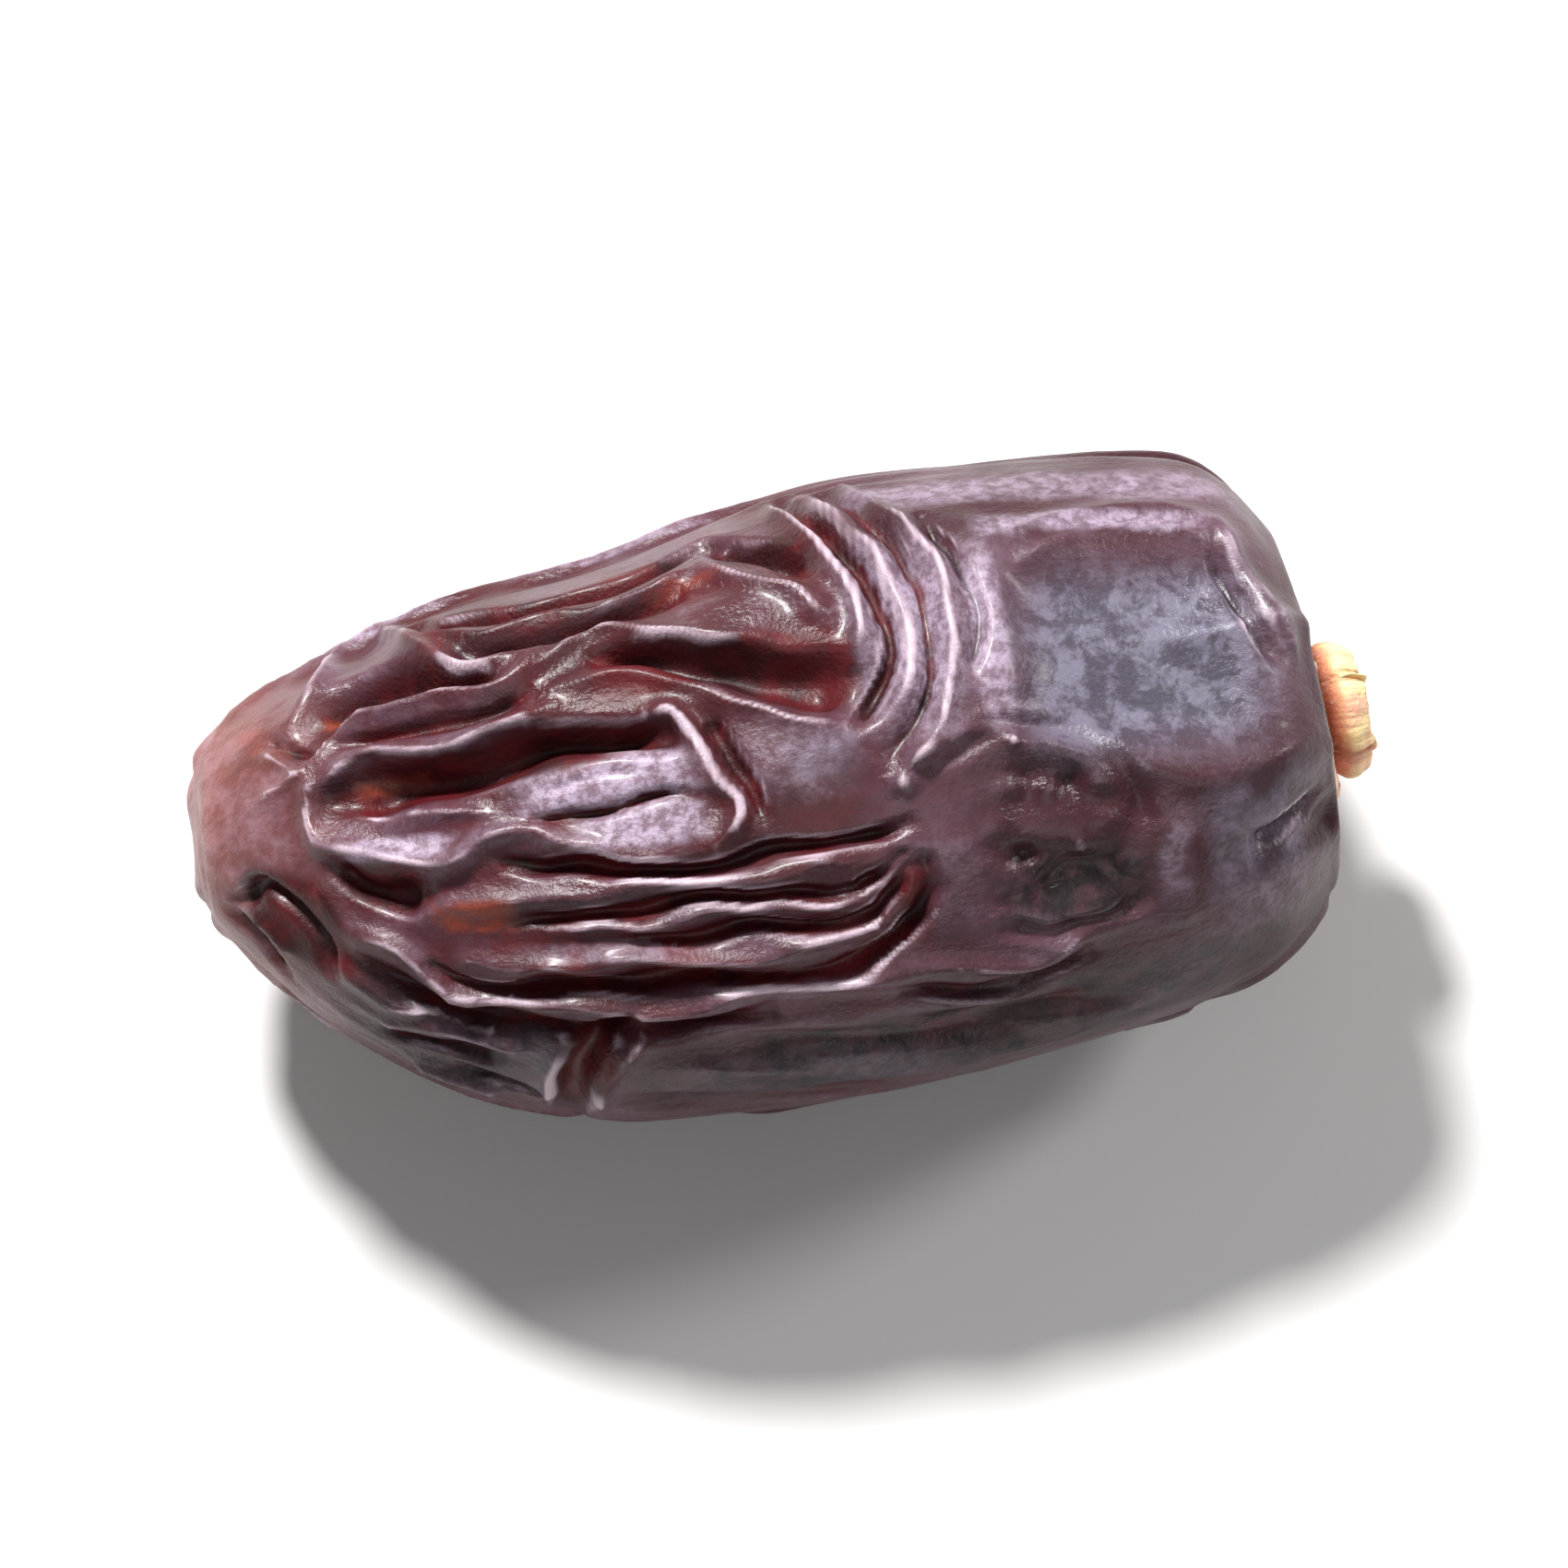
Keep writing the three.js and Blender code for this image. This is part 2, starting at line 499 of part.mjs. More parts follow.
// The cap: rings of points, closed by a fan below and a fan in the hollow of the scar
function capGeometry() {
  const points = [];
  const faces = [];
  for (const ring of CAP_RINGS) {
    for (let s = 0; s < CAP_SECTORS; s++) points.push(capPoint(ring, s / CAP_SECTORS * 2 * Math.PI));
  }
  const at = (ring, sector) => ring * CAP_SECTORS + sector % CAP_SECTORS;
  for (let r = 0; r < CAP_RINGS.length - 1; r++) {
    for (let s = 0; s < CAP_SECTORS; s++) {
      faces.push(at(r, s), at(r + 1, s + 1), at(r, s + 1));
      faces.push(at(r, s), at(r + 1, s), at(r + 1, s + 1));
    }
  }
  const last = CAP_RINGS.length - 1;
  points.push(capPoint([0, CAP_RINGS[0][1], CAP_RINGS[0][2]], 0));
  points.push(capPoint([0, CAP_RINGS[last][1], CAP_RINGS[last][2]], 0));
  for (let s = 0; s < CAP_SECTORS; s++) {
    faces.push(points.length - 2, at(0, s), at(0, s + 1));
    faces.push(points.length - 1, at(last, s + 1), at(last, s));
  }
  const geometry = new THREE.BufferGeometry().setFromPoints(points);
  geometry.setIndex(faces);
  return geometry;
}

function piece(name, geometry, material) {
  geometry.computeVertexNormals();
  const mesh = new THREE.Mesh(geometry, material);
  mesh.name = name;
  return mesh;
}

const skin = new THREE.MeshStandardMaterial({ color: 0x4a2426, roughness: 0.32, metalness: 0 });
const dryCap = new THREE.MeshStandardMaterial({ color: 0xd9895a, roughness: 0.7, metalness: 0 });

const date = new THREE.Group();
date.add(piece('date_fruit', fruitGeometry(), skin));
date.add(piece('date_calyx', capGeometry(), dryCap));

// Stand the date on the origin, at the middle of its outline
const bounds = new THREE.Box3().setFromObject(date, true);
const middle = bounds.getCenter(new THREE.Vector3());
date.position.set(-middle.x, -middle.y, -bounds.min.z);
date.updateMatrixWorld(true);

export default date;
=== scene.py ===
import math

import bpy
import numpy as np
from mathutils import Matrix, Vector


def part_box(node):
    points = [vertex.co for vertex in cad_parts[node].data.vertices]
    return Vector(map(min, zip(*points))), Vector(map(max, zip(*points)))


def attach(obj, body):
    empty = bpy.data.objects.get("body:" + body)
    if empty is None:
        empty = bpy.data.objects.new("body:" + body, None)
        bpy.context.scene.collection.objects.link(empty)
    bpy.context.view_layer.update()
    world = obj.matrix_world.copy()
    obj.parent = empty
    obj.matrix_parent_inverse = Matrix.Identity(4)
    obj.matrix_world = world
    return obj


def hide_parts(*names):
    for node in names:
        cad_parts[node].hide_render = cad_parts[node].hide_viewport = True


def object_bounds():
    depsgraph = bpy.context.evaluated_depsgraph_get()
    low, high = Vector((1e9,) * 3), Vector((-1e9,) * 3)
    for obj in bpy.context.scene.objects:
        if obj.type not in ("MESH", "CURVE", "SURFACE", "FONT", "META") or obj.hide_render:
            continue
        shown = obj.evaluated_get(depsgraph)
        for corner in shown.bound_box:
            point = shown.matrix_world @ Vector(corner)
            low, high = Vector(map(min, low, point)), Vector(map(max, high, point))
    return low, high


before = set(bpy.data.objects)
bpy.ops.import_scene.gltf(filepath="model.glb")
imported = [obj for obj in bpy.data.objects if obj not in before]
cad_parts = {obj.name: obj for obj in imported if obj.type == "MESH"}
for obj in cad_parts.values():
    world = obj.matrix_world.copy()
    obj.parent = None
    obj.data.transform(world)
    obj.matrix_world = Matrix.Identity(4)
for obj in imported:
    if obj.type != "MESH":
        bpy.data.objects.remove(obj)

CAD_BOX = [list(corner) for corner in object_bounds()]
MM = 0.001

# The fruit's outline, in mm: x, then reach towards +Y, -Y, +Z and -Z. It ends in a flat dish
DISH_X = 39.2
DISH_RADIUS = 4.9
STATIONS = np.array([
    [0, 0, 0, 0, 0],
    [0.35, 3.2, 2.0, 2.5, 2.3],
    [1.6, 4.7, 3.8, 4.1, 3.8],
    [3.8, 5.6, 6.2, 5.7, 5.3],
    [6.5, 6.2, 8.3, 7.0, 6.7],
    [10, 7.6, 10.2, 8.3, 8.0],
    [15, 8.2, 11.5, 9.3, 9.0],
    [20, 9.7, 11.6, 9.9, 9.6],
    [25, 10.7, 11.3, 10.1, 9.8],
    [30, 10.7, 10.6, 9.9, 9.6],
    [34.5, 10.6, 9.6, 9.2, 8.9],
    [37.2, 10.2, 8.3, 8.7, 8.3],
    [38.4, 9.4, 7.3, 7.9, 7.6],
    [39.2, 8.1, 6.5, 7.0, 6.8],
    [39.7, 6.9, 6.0, 6.3, 6.2],
    [39.5, 5.7, 5.5, 5.6, 5.6],
    [DISH_X, DISH_RADIUS, DISH_RADIUS, DISH_RADIUS, DISH_RADIUS],
    [DISH_X, 0, 0, 0, 0],
])
RIM_STATION = 14  # number of the station on the rim of the dish
END_SLANT = 0.075  # the stalk end leans towards the tip by this much per mm of +Y
SLANT = (30, 38)  # x over which the lean begins
FLAT_SPOT_RISE = 0.35  # the underside is cut flat this far above the plain skin's lowest point
CALM_RISE = 1.3  # and folds reach their full height this far above it
DRAWN_FROM = math.radians(68)  # elevation from which a place across the seen side is measured

# Seen folds, in mm: height of the ridge (below zero a groove), half-width, which may differ at the
# two ends, and route as x, across
SEEN_FOLDS = [
    # the rim along the far edge, and the narrow folds beside it
    (0.4, 0.4, [(2, 5.6), (5.2, 7), (7.3, 7.9), (9.8, 8.5), (12.9, 8.3), (15.7, 8.7), (20.7, 10.2)]),
    (-0.85, 0.42, [(8.7, 7.1), (10.5, 7.2), (13, 7.2), (15, 7.5), (18, 8.3), (19.1, 8.7)]),
    (0.4, 0.28, [(8.6, 6.6), (10.7, 6.5), (12.9, 6.6), (15.7, 6.95), (18.7, 7.8)]),
    (-0.8, 0.42, [(10.4, 5.95), (12.9, 6), (15, 6.35), (17.7, 7.1)]),
    # the first pocket near the tip, between two ridges that meet
    (0.55, 0.34, [(4, 4.3), (5.2, 5.6), (6.8, 6.8), (7.6, 7), (8.6, 6.3), (9.6, 5.6), (10.9, 5.4),
                  (13, 5.8)]),
    (-1.15, (1.05, 0.3), [(5.1, 4.1), (6, 4.8), (7.3, 5.3), (9, 5.05), (11.2, 4.9)]),
    (0.6, 0.34, [(5, 3.3), (6.5, 4.1), (8.7, 4.4), (10.8, 4.4), (11.9, 4.8), (13, 5.8)]),
    (-0.45, 0.28, [(5.5, 3.1), (8, 3.6), (10.8, 3.65), (12.3, 4.3)]),
    # the long pocket, with the pale wedge beside it
    (0.68, 0.36, [(4.5, 2), (5.9, 2.6), (8, 2.75), (10.1, 2.85), (11.8, 3.2), (13.1, 3.8)]),
    (-1.35, (0.95, 0.42), [(5.5, 1.6), (7, 1.65), (9, 1.75), (11, 2.1), (13, 2.5), (15, 2.5),
                           (16.8, 2.35)]),
    (0.32, 0.2, [(5.1, 0.9), (7.3, 0.65), (9.6, 0.35), (10.8, 0.1)]),
    (-0.4, 0.16, [(12, -0.15), (14.5, 0), (17, 0.1)]),
    (-0.16, 0.12, [(12.2, 0.8), (14.4, 0.95), (16.6, 1)]),
    (0.8, 0.32, [(16.2, 3.1), (17.2, 2.8), (17.9, 1.6), (18.4, 0.5), (18.9, -0.5), (18.7, -1.1),
                 (18, -1.6)]),
    (-0.5, 0.36, [(18.2, 2.6), (18.9, 1.3), (19.5, 0), (19.6, -1)]),
    (0.72, 0.34, [(4.5, 2), (4.35, 1.2), (4.5, 0.2), (5.2, -0.3), (6.8, -0.8), (8.6, -1.1),
                  (9.5, -0.8), (11.8, -0.5), (12.9, -1.05), (14, -1.5), (16.4, -1.75), (18, -1.6)]),
    # the crimson groove across the middle and the puffy skin around it
    (-1.2, (0.36, 1), [(14.7, 5.1), (16.4, 5.2), (18.4, 4.7), (20.2, 4), (21.8, 3.5), (23.5, 3.1)]),
    (0.35, 0.3, [(13.2, 4.4), (15.5, 4.4), (17.5, 3.9), (19.5, 2.9), (21.5, 2.1), (23.3, 1.9)]),
    (0.5, 0.28, [(12.8, 5.1), (14.3, 5.9), (16, 6), (17.6, 5.6), (19.4, 5.1), (21.6, 4.6)]),
    (0.65, 0.3, [(18.9, 8.1), (19.8, 7.3), (20.7, 6.9), (21.9, 6.5), (22.7, 5.4)]),
    (-0.9, 0.5, [(19.6, 8.6), (21, 8.2), (22.2, 7.6)]),
    # the arched folds that frame the broad end
    (0.5, 0.28, [(21.5, 9.9), (22.8, 8.4), (23.6, 6.9), (23.9, 5.4), (23.6, 4)]),
    (-0.62, 0.3, [(22.2, 10), (23.7, 8.2), (24.6, 6.4), (24.8, 4.6), (24.3, 3), (23.3, 1.8)]),
    (0.55, 0.26, [(22.9, 10), (24.4, 8.3), (25.3, 6.6), (25.6, 4.8), (25.3, 3.2), (24.4, 1.7)]),
    (-0.45, 0.22, [(23.5, 10), (25.1, 8.4), (26, 6.6), (26.3, 4.8), (26, 3.1), (25.2, 1.6),
                   (24.4, 0.6)]),
    (0.6, 0.28, [(24.1, 10.1), (25.8, 8.5), (26.8, 6.7), (27.1, 4.8), (26.8, 3.1), (26.1, 1.5),
                 (25.1, 0.2), (24.6, -0.4)]),
    (-0.45, 0.28, [(26.6, 8.7), (27.6, 6.8), (27.9, 5), (27.6, 3.2)]),
    # the upper edge of the rough hollow
    (-0.26, 0.36, [(25.8, 0.1), (27.5, 1), (29.2, 1.05), (31, 0.3), (32.4, -1.2), (32.9, -3)]),
    (-0.35, (0.3, 0.4), [(27.5, -5.8), (29.4, -6.1), (31.2, -5.9), (32.5, -5.2)]),
    # the frame of the large dent
    (0.25, 0.6, [(28.4, 9), (28.7, 6.5), (28.7, 4), (29, 1.8)]),
    (0.24, 0.4, [(28.6, 7.3), (30, 7.9), (33, 8.1), (36, 7.8), (37.6, 6.9)]),
    (0.2, 0.3, [(29.4, 6.5), (30.6, 7.2), (33, 7.35), (35.6, 7.2), (37.2, 6.4)]),
    (0.4, 0.32, [(37.3, 7.2), (37.9, 5.6), (38.4, 3.9), (38.8, 2.2)]),
    (-0.55, 0.3, [(36.9, 6.7), (37.4, 5.2), (37.9, 3.6), (38.2, 2.2)]),
    (0.35, 0.5, [(28.9, 0.6), (32.1, -0.4), (33.9, -1.2), (36, -1.5), (37.9, -0.8), (39, -0.3)]),
    (0.35, 0.32, [(26, 0.8), (27.8, 1.1), (29, 0.5)]),
    (0.22, 0.6, [(33.3, -2.6), (33.6, -4.5), (33.9, -6.6)]),
    (-0.75, 0.32, [(36.4, -4.1), (37.2, -3.8), (38, -3.1), (38.7, -2.6)]),
    (0.2, 0.22, [(37, -4.3), (37.9, -3.8), (38.8, -3.2)]),
    # the bundle of narrow folds below the long pocket
    (-0.7, 0.42, [(4.9, -0.8), (5.9, -1.7), (6.8, -2.1), (7.9, -2.3)]),
    (-0.7, 0.28, [(10.8, -1.5), (12.9, -1.8), (15, -2.3), (19.8, -2.2), (22.8, -2.1), (24.6, -1.7)]),
    (0.42, 0.38, [(8, -2.8), (12, -2.75), (17, -2.9), (23.5, -2.8)]),
    (-0.58, 0.24, [(10.8, -3.65), (12.9, -3.5), (16.4, -3.5), (19.8, -3.5), (23.2, -3.6), (24.2, -2.8)]),
    (0.42, 0.24, [(12, -4.05), (17.5, -4.05), (23, -4.15)]),
    (-0.6, 0.25, [(15, -4.55), (18.4, -4.65), (22.8, -4.75), (23.75, -4.3), (24.4, -3.3)]),
    (0.68, 0.3, [(9.3, -4.5), (10.8, -4.95), (12.9, -5.1), (15.7, -5.4), (21.4, -5.4), (23.1, -5.1)]),
    (-0.85, 0.34, [(7.9, -4.8), (8.7, -5.4), (12.9, -5.85), (15.7, -6.15), (22.8, -6.15),
                   (24.2, -5.5), (25.1, -4.1), (24.9, -3.2)]),
    (0.6, 0.36, [(4.3, -1.8), (5, -3), (6.8, -4), (7.6, -4.8), (8.4, -5.7), (9.8, -5.9),
                 (11.9, -6.4), (13.6, -6.9), (15, -7.15), (18.4, -6.8), (23.8, -6.8), (26, -6.95)]),
    (-0.7, 0.38, [(5.7, -4.3), (8.7, -6.4), (10.8, -7), (12.9, -7.55), (15.7, -7.85), (19.1, -7.6)]),
    (0.48, 0.34, [(26, -6.9), (28.6, -7.05), (29.7, -6.6), (30.8, -6.1), (31.9, -5.9)]),
    (-0.55, 0.34, [(24, -7.4), (25.6, -7.75), (27.6, -7.9), (29.4, -7.4), (30.6, -6.9)]),
    # the near edge by the tip
    (0.5, 0.32, [(14.9, -7.7), (14.1, -8.5), (13.4, -9.4), (13, -10.4)]),
    (-0.85, (0.35, 0.6), [(14.3, -7.2), (13.4, -7.7), (12.7, -8.7), (12.1, -9.8), (11.8, -10.7)]),
    (0.42, 0.3, [(12.4, -7.5), (11.7, -8.6), (11.1, -9.8)]),
    (-0.5, 0.3, [(8.4, -8.4), (9.8, -9), (11, -9.7)]),
    (0.4, 0.26, [(4.6, -4.2), (5.5, -5.1), (6.4, -5.9), (7.6, -6.2)]),
    (0.42, 0.32, [(5.7, -6.2), (7.5, -6.75), (9.3, -7.4), (10.9, -7.9)]),
    (-0.55, 0.32, [(6, -6.9), (7.8, -7.45), (9.6, -8.15)]),
    (0.46, 0.32, [(6.8, -7.8), (8.3, -8.6), (9.8, -9.4)]),
    (0.25, 0.8, [(15.5, -9.3), (20, -9.7), (25, -10.2), (30, -9.6), (34, -8.2)]),
    (-0.25, 0.7, [(17, -8.7), (21, -8.9), (26, -9.1), (31, -8.6)]),
    (-0.25, 0.7, [(14.5, -10.4), (19, -10.8), (24, -10.9)]),
    # small folds on the smooth tip
    (0.28, 0.2, [(2.4, 1.5), (3.3, 1.9), (4.2, 2.5), (5, 3.3)]),
    (0.22, 0.18, [(2.8, 3.4), (3.6, 3), (4.3, 2.3)]),
    (-0.25, 0.22, [(3.2, 3.9), (4, 3.5), (4.6, 3.1)]),
    (-0.6, 0.3, [(1.2, -1.6), (2.5, -1.4), (3.2, -1.9), (4.1, -3.2), (4.4, -4.5)]),
    (0.4, 0.26, [(1.8, -2.1), (2.5, -2.6), (3, -3.6)]),
    (-0.45, 0.3, [(1.1, -2.1), (1.9, -3.1), (2.6, -4.2)]),
]

# Seen dents and swellings: height, x, across, half-length, half-breadth, crispness of the edge
SEEN_DENTS = [
    (-0.9, 33.3, 3.6, 4.3, 3.4, 6),  # the large dent of the broad end
    (-0.4, 29.9, -1.8, 2.9, 2.3, 3),  # the rough hollow below it
    (-0.35, 30.2, -4.6, 2.6, 1.3, 3),
    (0.5, 14.6, 0.9, 3.4, 0.9, 4),  # the pale wedge
    (0.4, 15.5, -0.8, 2.3, 0.7, 4),
    (0.4, 19.6, 5.9, 2.6, 1.1, 3),  # the puffy patch above the crimson groove
    (0.3, 21.8, 1, 2, 1.4, 3),
    (-0.35, 27.5, -9, 3.5, 0.8, 2),
    (0.4, 25.6, 0.6, 0.5, 0.5, 2),
    (0.35, 24.7, -0.5, 0.5, 0.4, 2),
]

# Rule for the folds on the far side: rows of lengthwise ridges with a groove beside each.
# Lengths are in mm, and angles in degrees from +Z towards +Y
FAR_SEED = 4711
STREAM_STEP = 16807
STREAM_SIZE = 2147483647
FAR_ROWS = 11
FAR_FROM = 90
FAR_TO = 246
FAR_STEP = 2.6
FAR_START = (2.5, 6)
FAR_LENGTH = (7, 17)
FAR_PAUSE = (0.8, 3)
FAR_END = 37
FAR_SWAY = 9
FAR_SCATTER = 0.5
FAR_HEIGHT = (0.35, 0.65)
FAR_WIDTH = (0.55, 0.75)
GROOVE_SHARE = 0.9
FAR_CALM_X = (22, 34)
FAR_CALM = 0.45
FAR_DENTS = 9
FAR_DENT_DEPTH = (0.3, 0.75)
FAR_DENT_SIZE = (1.6, 3.4)
FAR_DENT_BREADTH = 0.7
FAR_DENT_CRISPNESS = 3
FAR_SHARPER = 0.72  # the finished ridges are this much narrower, and higher to match
FAR_BOLDER = 1.3

# Puckers: short folds that run from the rim of the dish down onto the sides
PUCKER_COUNT = 9
PUCKER_SCATTER = 0.6
PUCKER_LEAN = 0.3
PUCKER_END_X = (33.5, 36.5)
PUCKER_HEIGHT = (0.2, 0.4)
PUCKER_WIDTH = (0.6, 0.85)
PUCKER_POINTS = 5

# Every fold wavers by a reach in mm, with one wave of the place for each of x, y and z
SWAYS = (
    (0.12, ((1.3, 0.9, 0.4), (0.8, 1.4, 1.7), (1.1, 0.7, 2.9))),
    (0.04, ((2.3, -1.6, 1.2), (-1.9, 2.7, 0.8), (1.4, -0.9, 3.1))),
)
FOLD_FADE = 0.14  # part of a fold's length over which it rises to its full height
FOLD_END_SHARE = 0.35  # share of that height at its ends
DISH_CALM = (0.2, 1.2)  # mm from the dish over which the folds begin
RISE_LIMIT = 0.95  # where ridges meet, they rise no higher than this
REACH = 3.2  # half-widths from its route at which a fold ends
HALVINGS = 40
ROUTE_PARTS = 3  # straight steps between two points of a route, along a smooth curve

# The finished skin
CELLS = 128  # along each edge of the cube that is blown up into the fruit
CREST_ROUNDING = 0.16  # part of a ridge's half-width that is rounded off at its crest
CREST_POWER = 1.15
VALLEY_POWER = 3

# The skin keeps growing while the flesh shrinks under it, which buckles it into fine creases.
# Coarse creases first, then fine ones: cells along an edge of the cube, growth round and along the
# fruit, stiffness, hold and steps
GROWTH = (
    (CELLS // 2, 0.09, -0.015, 0.35, 0.006, 260),
    (CELLS, 0.075, -0.01, 0.3, 0.008, 240),
)
GROWTH_TURN = 2  # how strictly the growth keeps to its two directions
SEEN_GROWTH = 0.32  # the seen side, which has its own folds, grows this much of the rest's growth
GROWTH_SEED = 7
GROWTH_START = 0.015  # mm of unevenness that the creases start from
GROWTH_PACE = 0.07  # part of the force that each step adds to the speed
GROWTH_KEEP = 0.88  # part of the speed that each step keeps
GROWTH_EASE = 4  # the skin moves at full speed where it is a quarter free
PATCH_CRISPNESS = 4
SEEN_EDGE = (0.5, 4)  # mm towards the seen side over which that side begins

# Patches of the seen side where the skin stays smooth: strength, x, across, half-length and breadth
CALM_PATCHES = [
    (0.95, 33.8, 3.5, 6.2, 5.4),
    (0.85, 35.8, -4, 5, 4.4),
    (0.9, 26, -9.3, 12.5, 2.3),
    (0.85, 14.6, 0.9, 3.3, 1.1),
    (0.9, 1, 0, 3.4, 6),
    (0.8, 19, 6, 3, 1.2),
    (0.8, 25.6, 5, 2.6, 5),
    (0.85, 21.6, 0.6, 2.6, 1.9),
]

# The rough hollow is full of small pits and bumps: their count, middle as x and across, spread,
# height and radius
PIT_COUNT = 44
PIT_MIDDLE = (29.9, -3.2)
PIT_SPREAD = (3, 3)
PIT_HEIGHT = (0.1, 0.26)
PIT_RADIUS = (0.35, 0.75)
PIT_CRISPNESS = 2

# Colour of the seen side, in patches of the same kind
RED_PATCHES = [
    (0.95, 9.8, 1.9, 5.6, 0.85),
    (0.95, 7.2, 4.95, 2.3, 0.85),
    (0.95, 19.4, 4.5, 4.6, 0.75),
    (0.95, 21.9, 3.6, 1.9, 0.9),
    (0.95, 12.6, 7.3, 4.4, 0.5),
    (0.95, 17.4, 8.2, 2.4, 0.5),
    (0.9, 13.8, 6.2, 3.9, 0.45),
    (0.6, 13.5, 7, 6.5, 1.7),
    (0.4, 15.5, -5.2, 7, 1.6),
    (0.95, 20.9, 8.2, 1.6, 0.8),
    (0.85, 6.4, -1.8, 1.5, 0.9),
    (1, 3.3, -2.6, 1.9, 1.8),
    (0.85, 12.9, -8.6, 1, 1.9),
    (0.7, 24.6, -4.5, 0.7, 1.4),
    (0.55, 19, -6.1, 5.6, 0.35),
    (0.45, 12.5, -6.9, 4, 0.5),
    (0.5, 27.5, -9.1, 3.2, 0.6),
]
ORANGE_PATCHES = [
    (0.8, 6.1, 4.7, 1.3, 0.5),
    (0.35, 2.4, 3.9, 0.6, 1.3),
    (0.65, 9.6, -3.2, 1.6, 0.65),
    (0.45, 7, 1.9, 1.6, 0.4),
    (0.3, 17.6, 7.3, 2.2, 0.35),
]
# Lilac-grey patches: the skin's bloom, together with a painted sheen and painted highlights of reflected
# light
BLOOM_AND_SHEEN_PATCHES = [
    (1, 14.5, 0.9, 3.3, 1),
    (0.9, 15.6, -0.7, 2.3, 0.8),
    (0.35, 2.4, 0.6, 1.6, 2.6),
    (0.55, 30.8, 9.5, 8.5, 1.3),
    (0.6, 7.6, 7.9, 2.6, 0.35),
    (0.6, 16, 9, 4, 0.35),
    (0.8, 28.3, 4.6, 0.8, 4),
    (0.6, 33, 7.8, 4.6, 0.6),
    (0.6, 29.2, 8, 1.2, 0.9),
    (0.62, 25.4, 5, 2.4, 4.6),
    (0.6, 14.5, -4.9, 3.6, 0.35),
    (0.75, 7.2, -0.5, 2.2, 0.5),
    (0.2, 18.8, 6, 2.6, 1),
    (0.45, 21, 1, 2.6, 1.8),
    (0.4, 36.6, -4.5, 2.5, 3.4),
    (0.35, 33.6, -4.4, 0.8, 2.4),
]
# Blue-grey patches, mostly in the large dent: bloom, together with a painted reflection of the sky
SLATE_BLOOM_AND_SHEEN_PATCHES = [
    (1, 33.6, 3.2, 4.8, 3.9),
    (0.5, 36.5, -3.6, 2.4, 2.8),
    (0.45, 22, 0.9, 1.8, 1),
]
# Dark brown patches: painted shade along the near lower side and below the tip, and the darker skin of
# the rough hollow and the fold bundle
UMBER_AND_SHADE_PATCHES = [
    (0.45, 29.6, -1.6, 3.2, 2.6),
    (1, 30.2, -4.7, 2.7, 1.4),
    (0.95, 26, -9.6, 13.5, 2.4),
    (0.95, 8.4, -7.7, 5.5, 2.3),
    (0.6, 15.5, -3.6, 6.5, 0.9),
]
COLOUR_PATCHES = {
    "orange": ORANGE_PATCHES,
    "bloom_and_sheen": BLOOM_AND_SHEEN_PATCHES,
    "slate_bloom_and_sheen": SLATE_BLOOM_AND_SHEEN_PATCHES,
    "umber_and_shade": UMBER_AND_SHADE_PATCHES,
}

RED_HOLLOW = (0.08, 0.4)  # a hollow this deep, in mm, starts to be red, and this deep is red
RED_FAR = 0.35  # hollows on the far side are this much as red as on the seen side
RED_FADE = 1  # towards the stalk end the hollows lose this much of their red
RED_FADE_X = (22, 30)
PALE_X = (6.5, 0)  # the tip grows paler between these
WARM_X = (27, 21)  # and the skin redder between these

# How deep a place lies is measured from a skin that is evened out this many times
HOLLOW_ROUNDS = 120
CREASE_ROUNDS = 3
EVEN_SHARE = 0.5

# The cap's sizes in mm, and its rings: share of the skirt's radius, height, and 0 for the skirt to
# 1 for the round neck and bell
CAP_GAP = 0.3  # between the dish and the cap
CAP_SECTORS = 360
CAP_RING_PARTS = 9
CAP_LOBES = 3
CAP_RADIUS = 4.15
LOBE_DEPTH = 0.48
LOBE_CURL = 0.14
SKIRT_WAVE = 0.12
SKIRT_WAVES = 7
SKIRT_WAVE_TURN = 1
SKIRT_THICKNESS = 0.75
SCAR_ROUNDNESS = 0.8
RING_OFFSET = (0.35, -0.25)
CAP_RINGS = [
    (0.5, 0, 0),
    (0.94, 0, 0),
    (1, 0.25, 0),
    (0.98, SKIRT_THICKNESS, 0),
    (0.88, SKIRT_THICKNESS + 0.1, 0),
    (0.7, SKIRT_THICKNESS, 0.4),
    (0.52, SKIRT_THICKNESS + 0.2, 0.9),
    (0.54, 1.45, 1),
    (0.6, 1.9, 1),
    (0.57, 2.4, 1),
    (0.46, 2.75, 1),
    (0.36, 2.7, 1),
    (0.2, 2.2, 1),
]
SKIRT_FRAY = 0.025
FRAY_WAVES = range(11, 60, 6)
BELL_WOBBLE = 0.05
BELL_WAVES = range(2, 9)
BELL_TWIST = 0.6
BELL_RISE_SHARE = 0.5
BELL_RISE_WAVES = range(2, 7)
BELL_RISE_TURN = 1
FIBRE_HEIGHT = 0.045
FIBRE_WAVES = range(23, 80, 5)
FIBRE_TWIST = 0.15
FIBRE_FROM = (0.05, 0.4)
WAVE_SIZE_TURN = 3.1  # the waves of a sum have sizes and places that follow from these
WAVE_PLACE_TURN = 1.7

# Spans of share or height over which a part of the cap begins or ends, for its colours
RIM_SHARES = (0.8, 1)
BELL_HEIGHTS = (1.3, 2.1)
NECK_SHADE_HEIGHTS = (1.1, 1.8)
SCAR_SHARES = (0.36, 0.2)
SCAR_HEIGHTS = (1, 2)

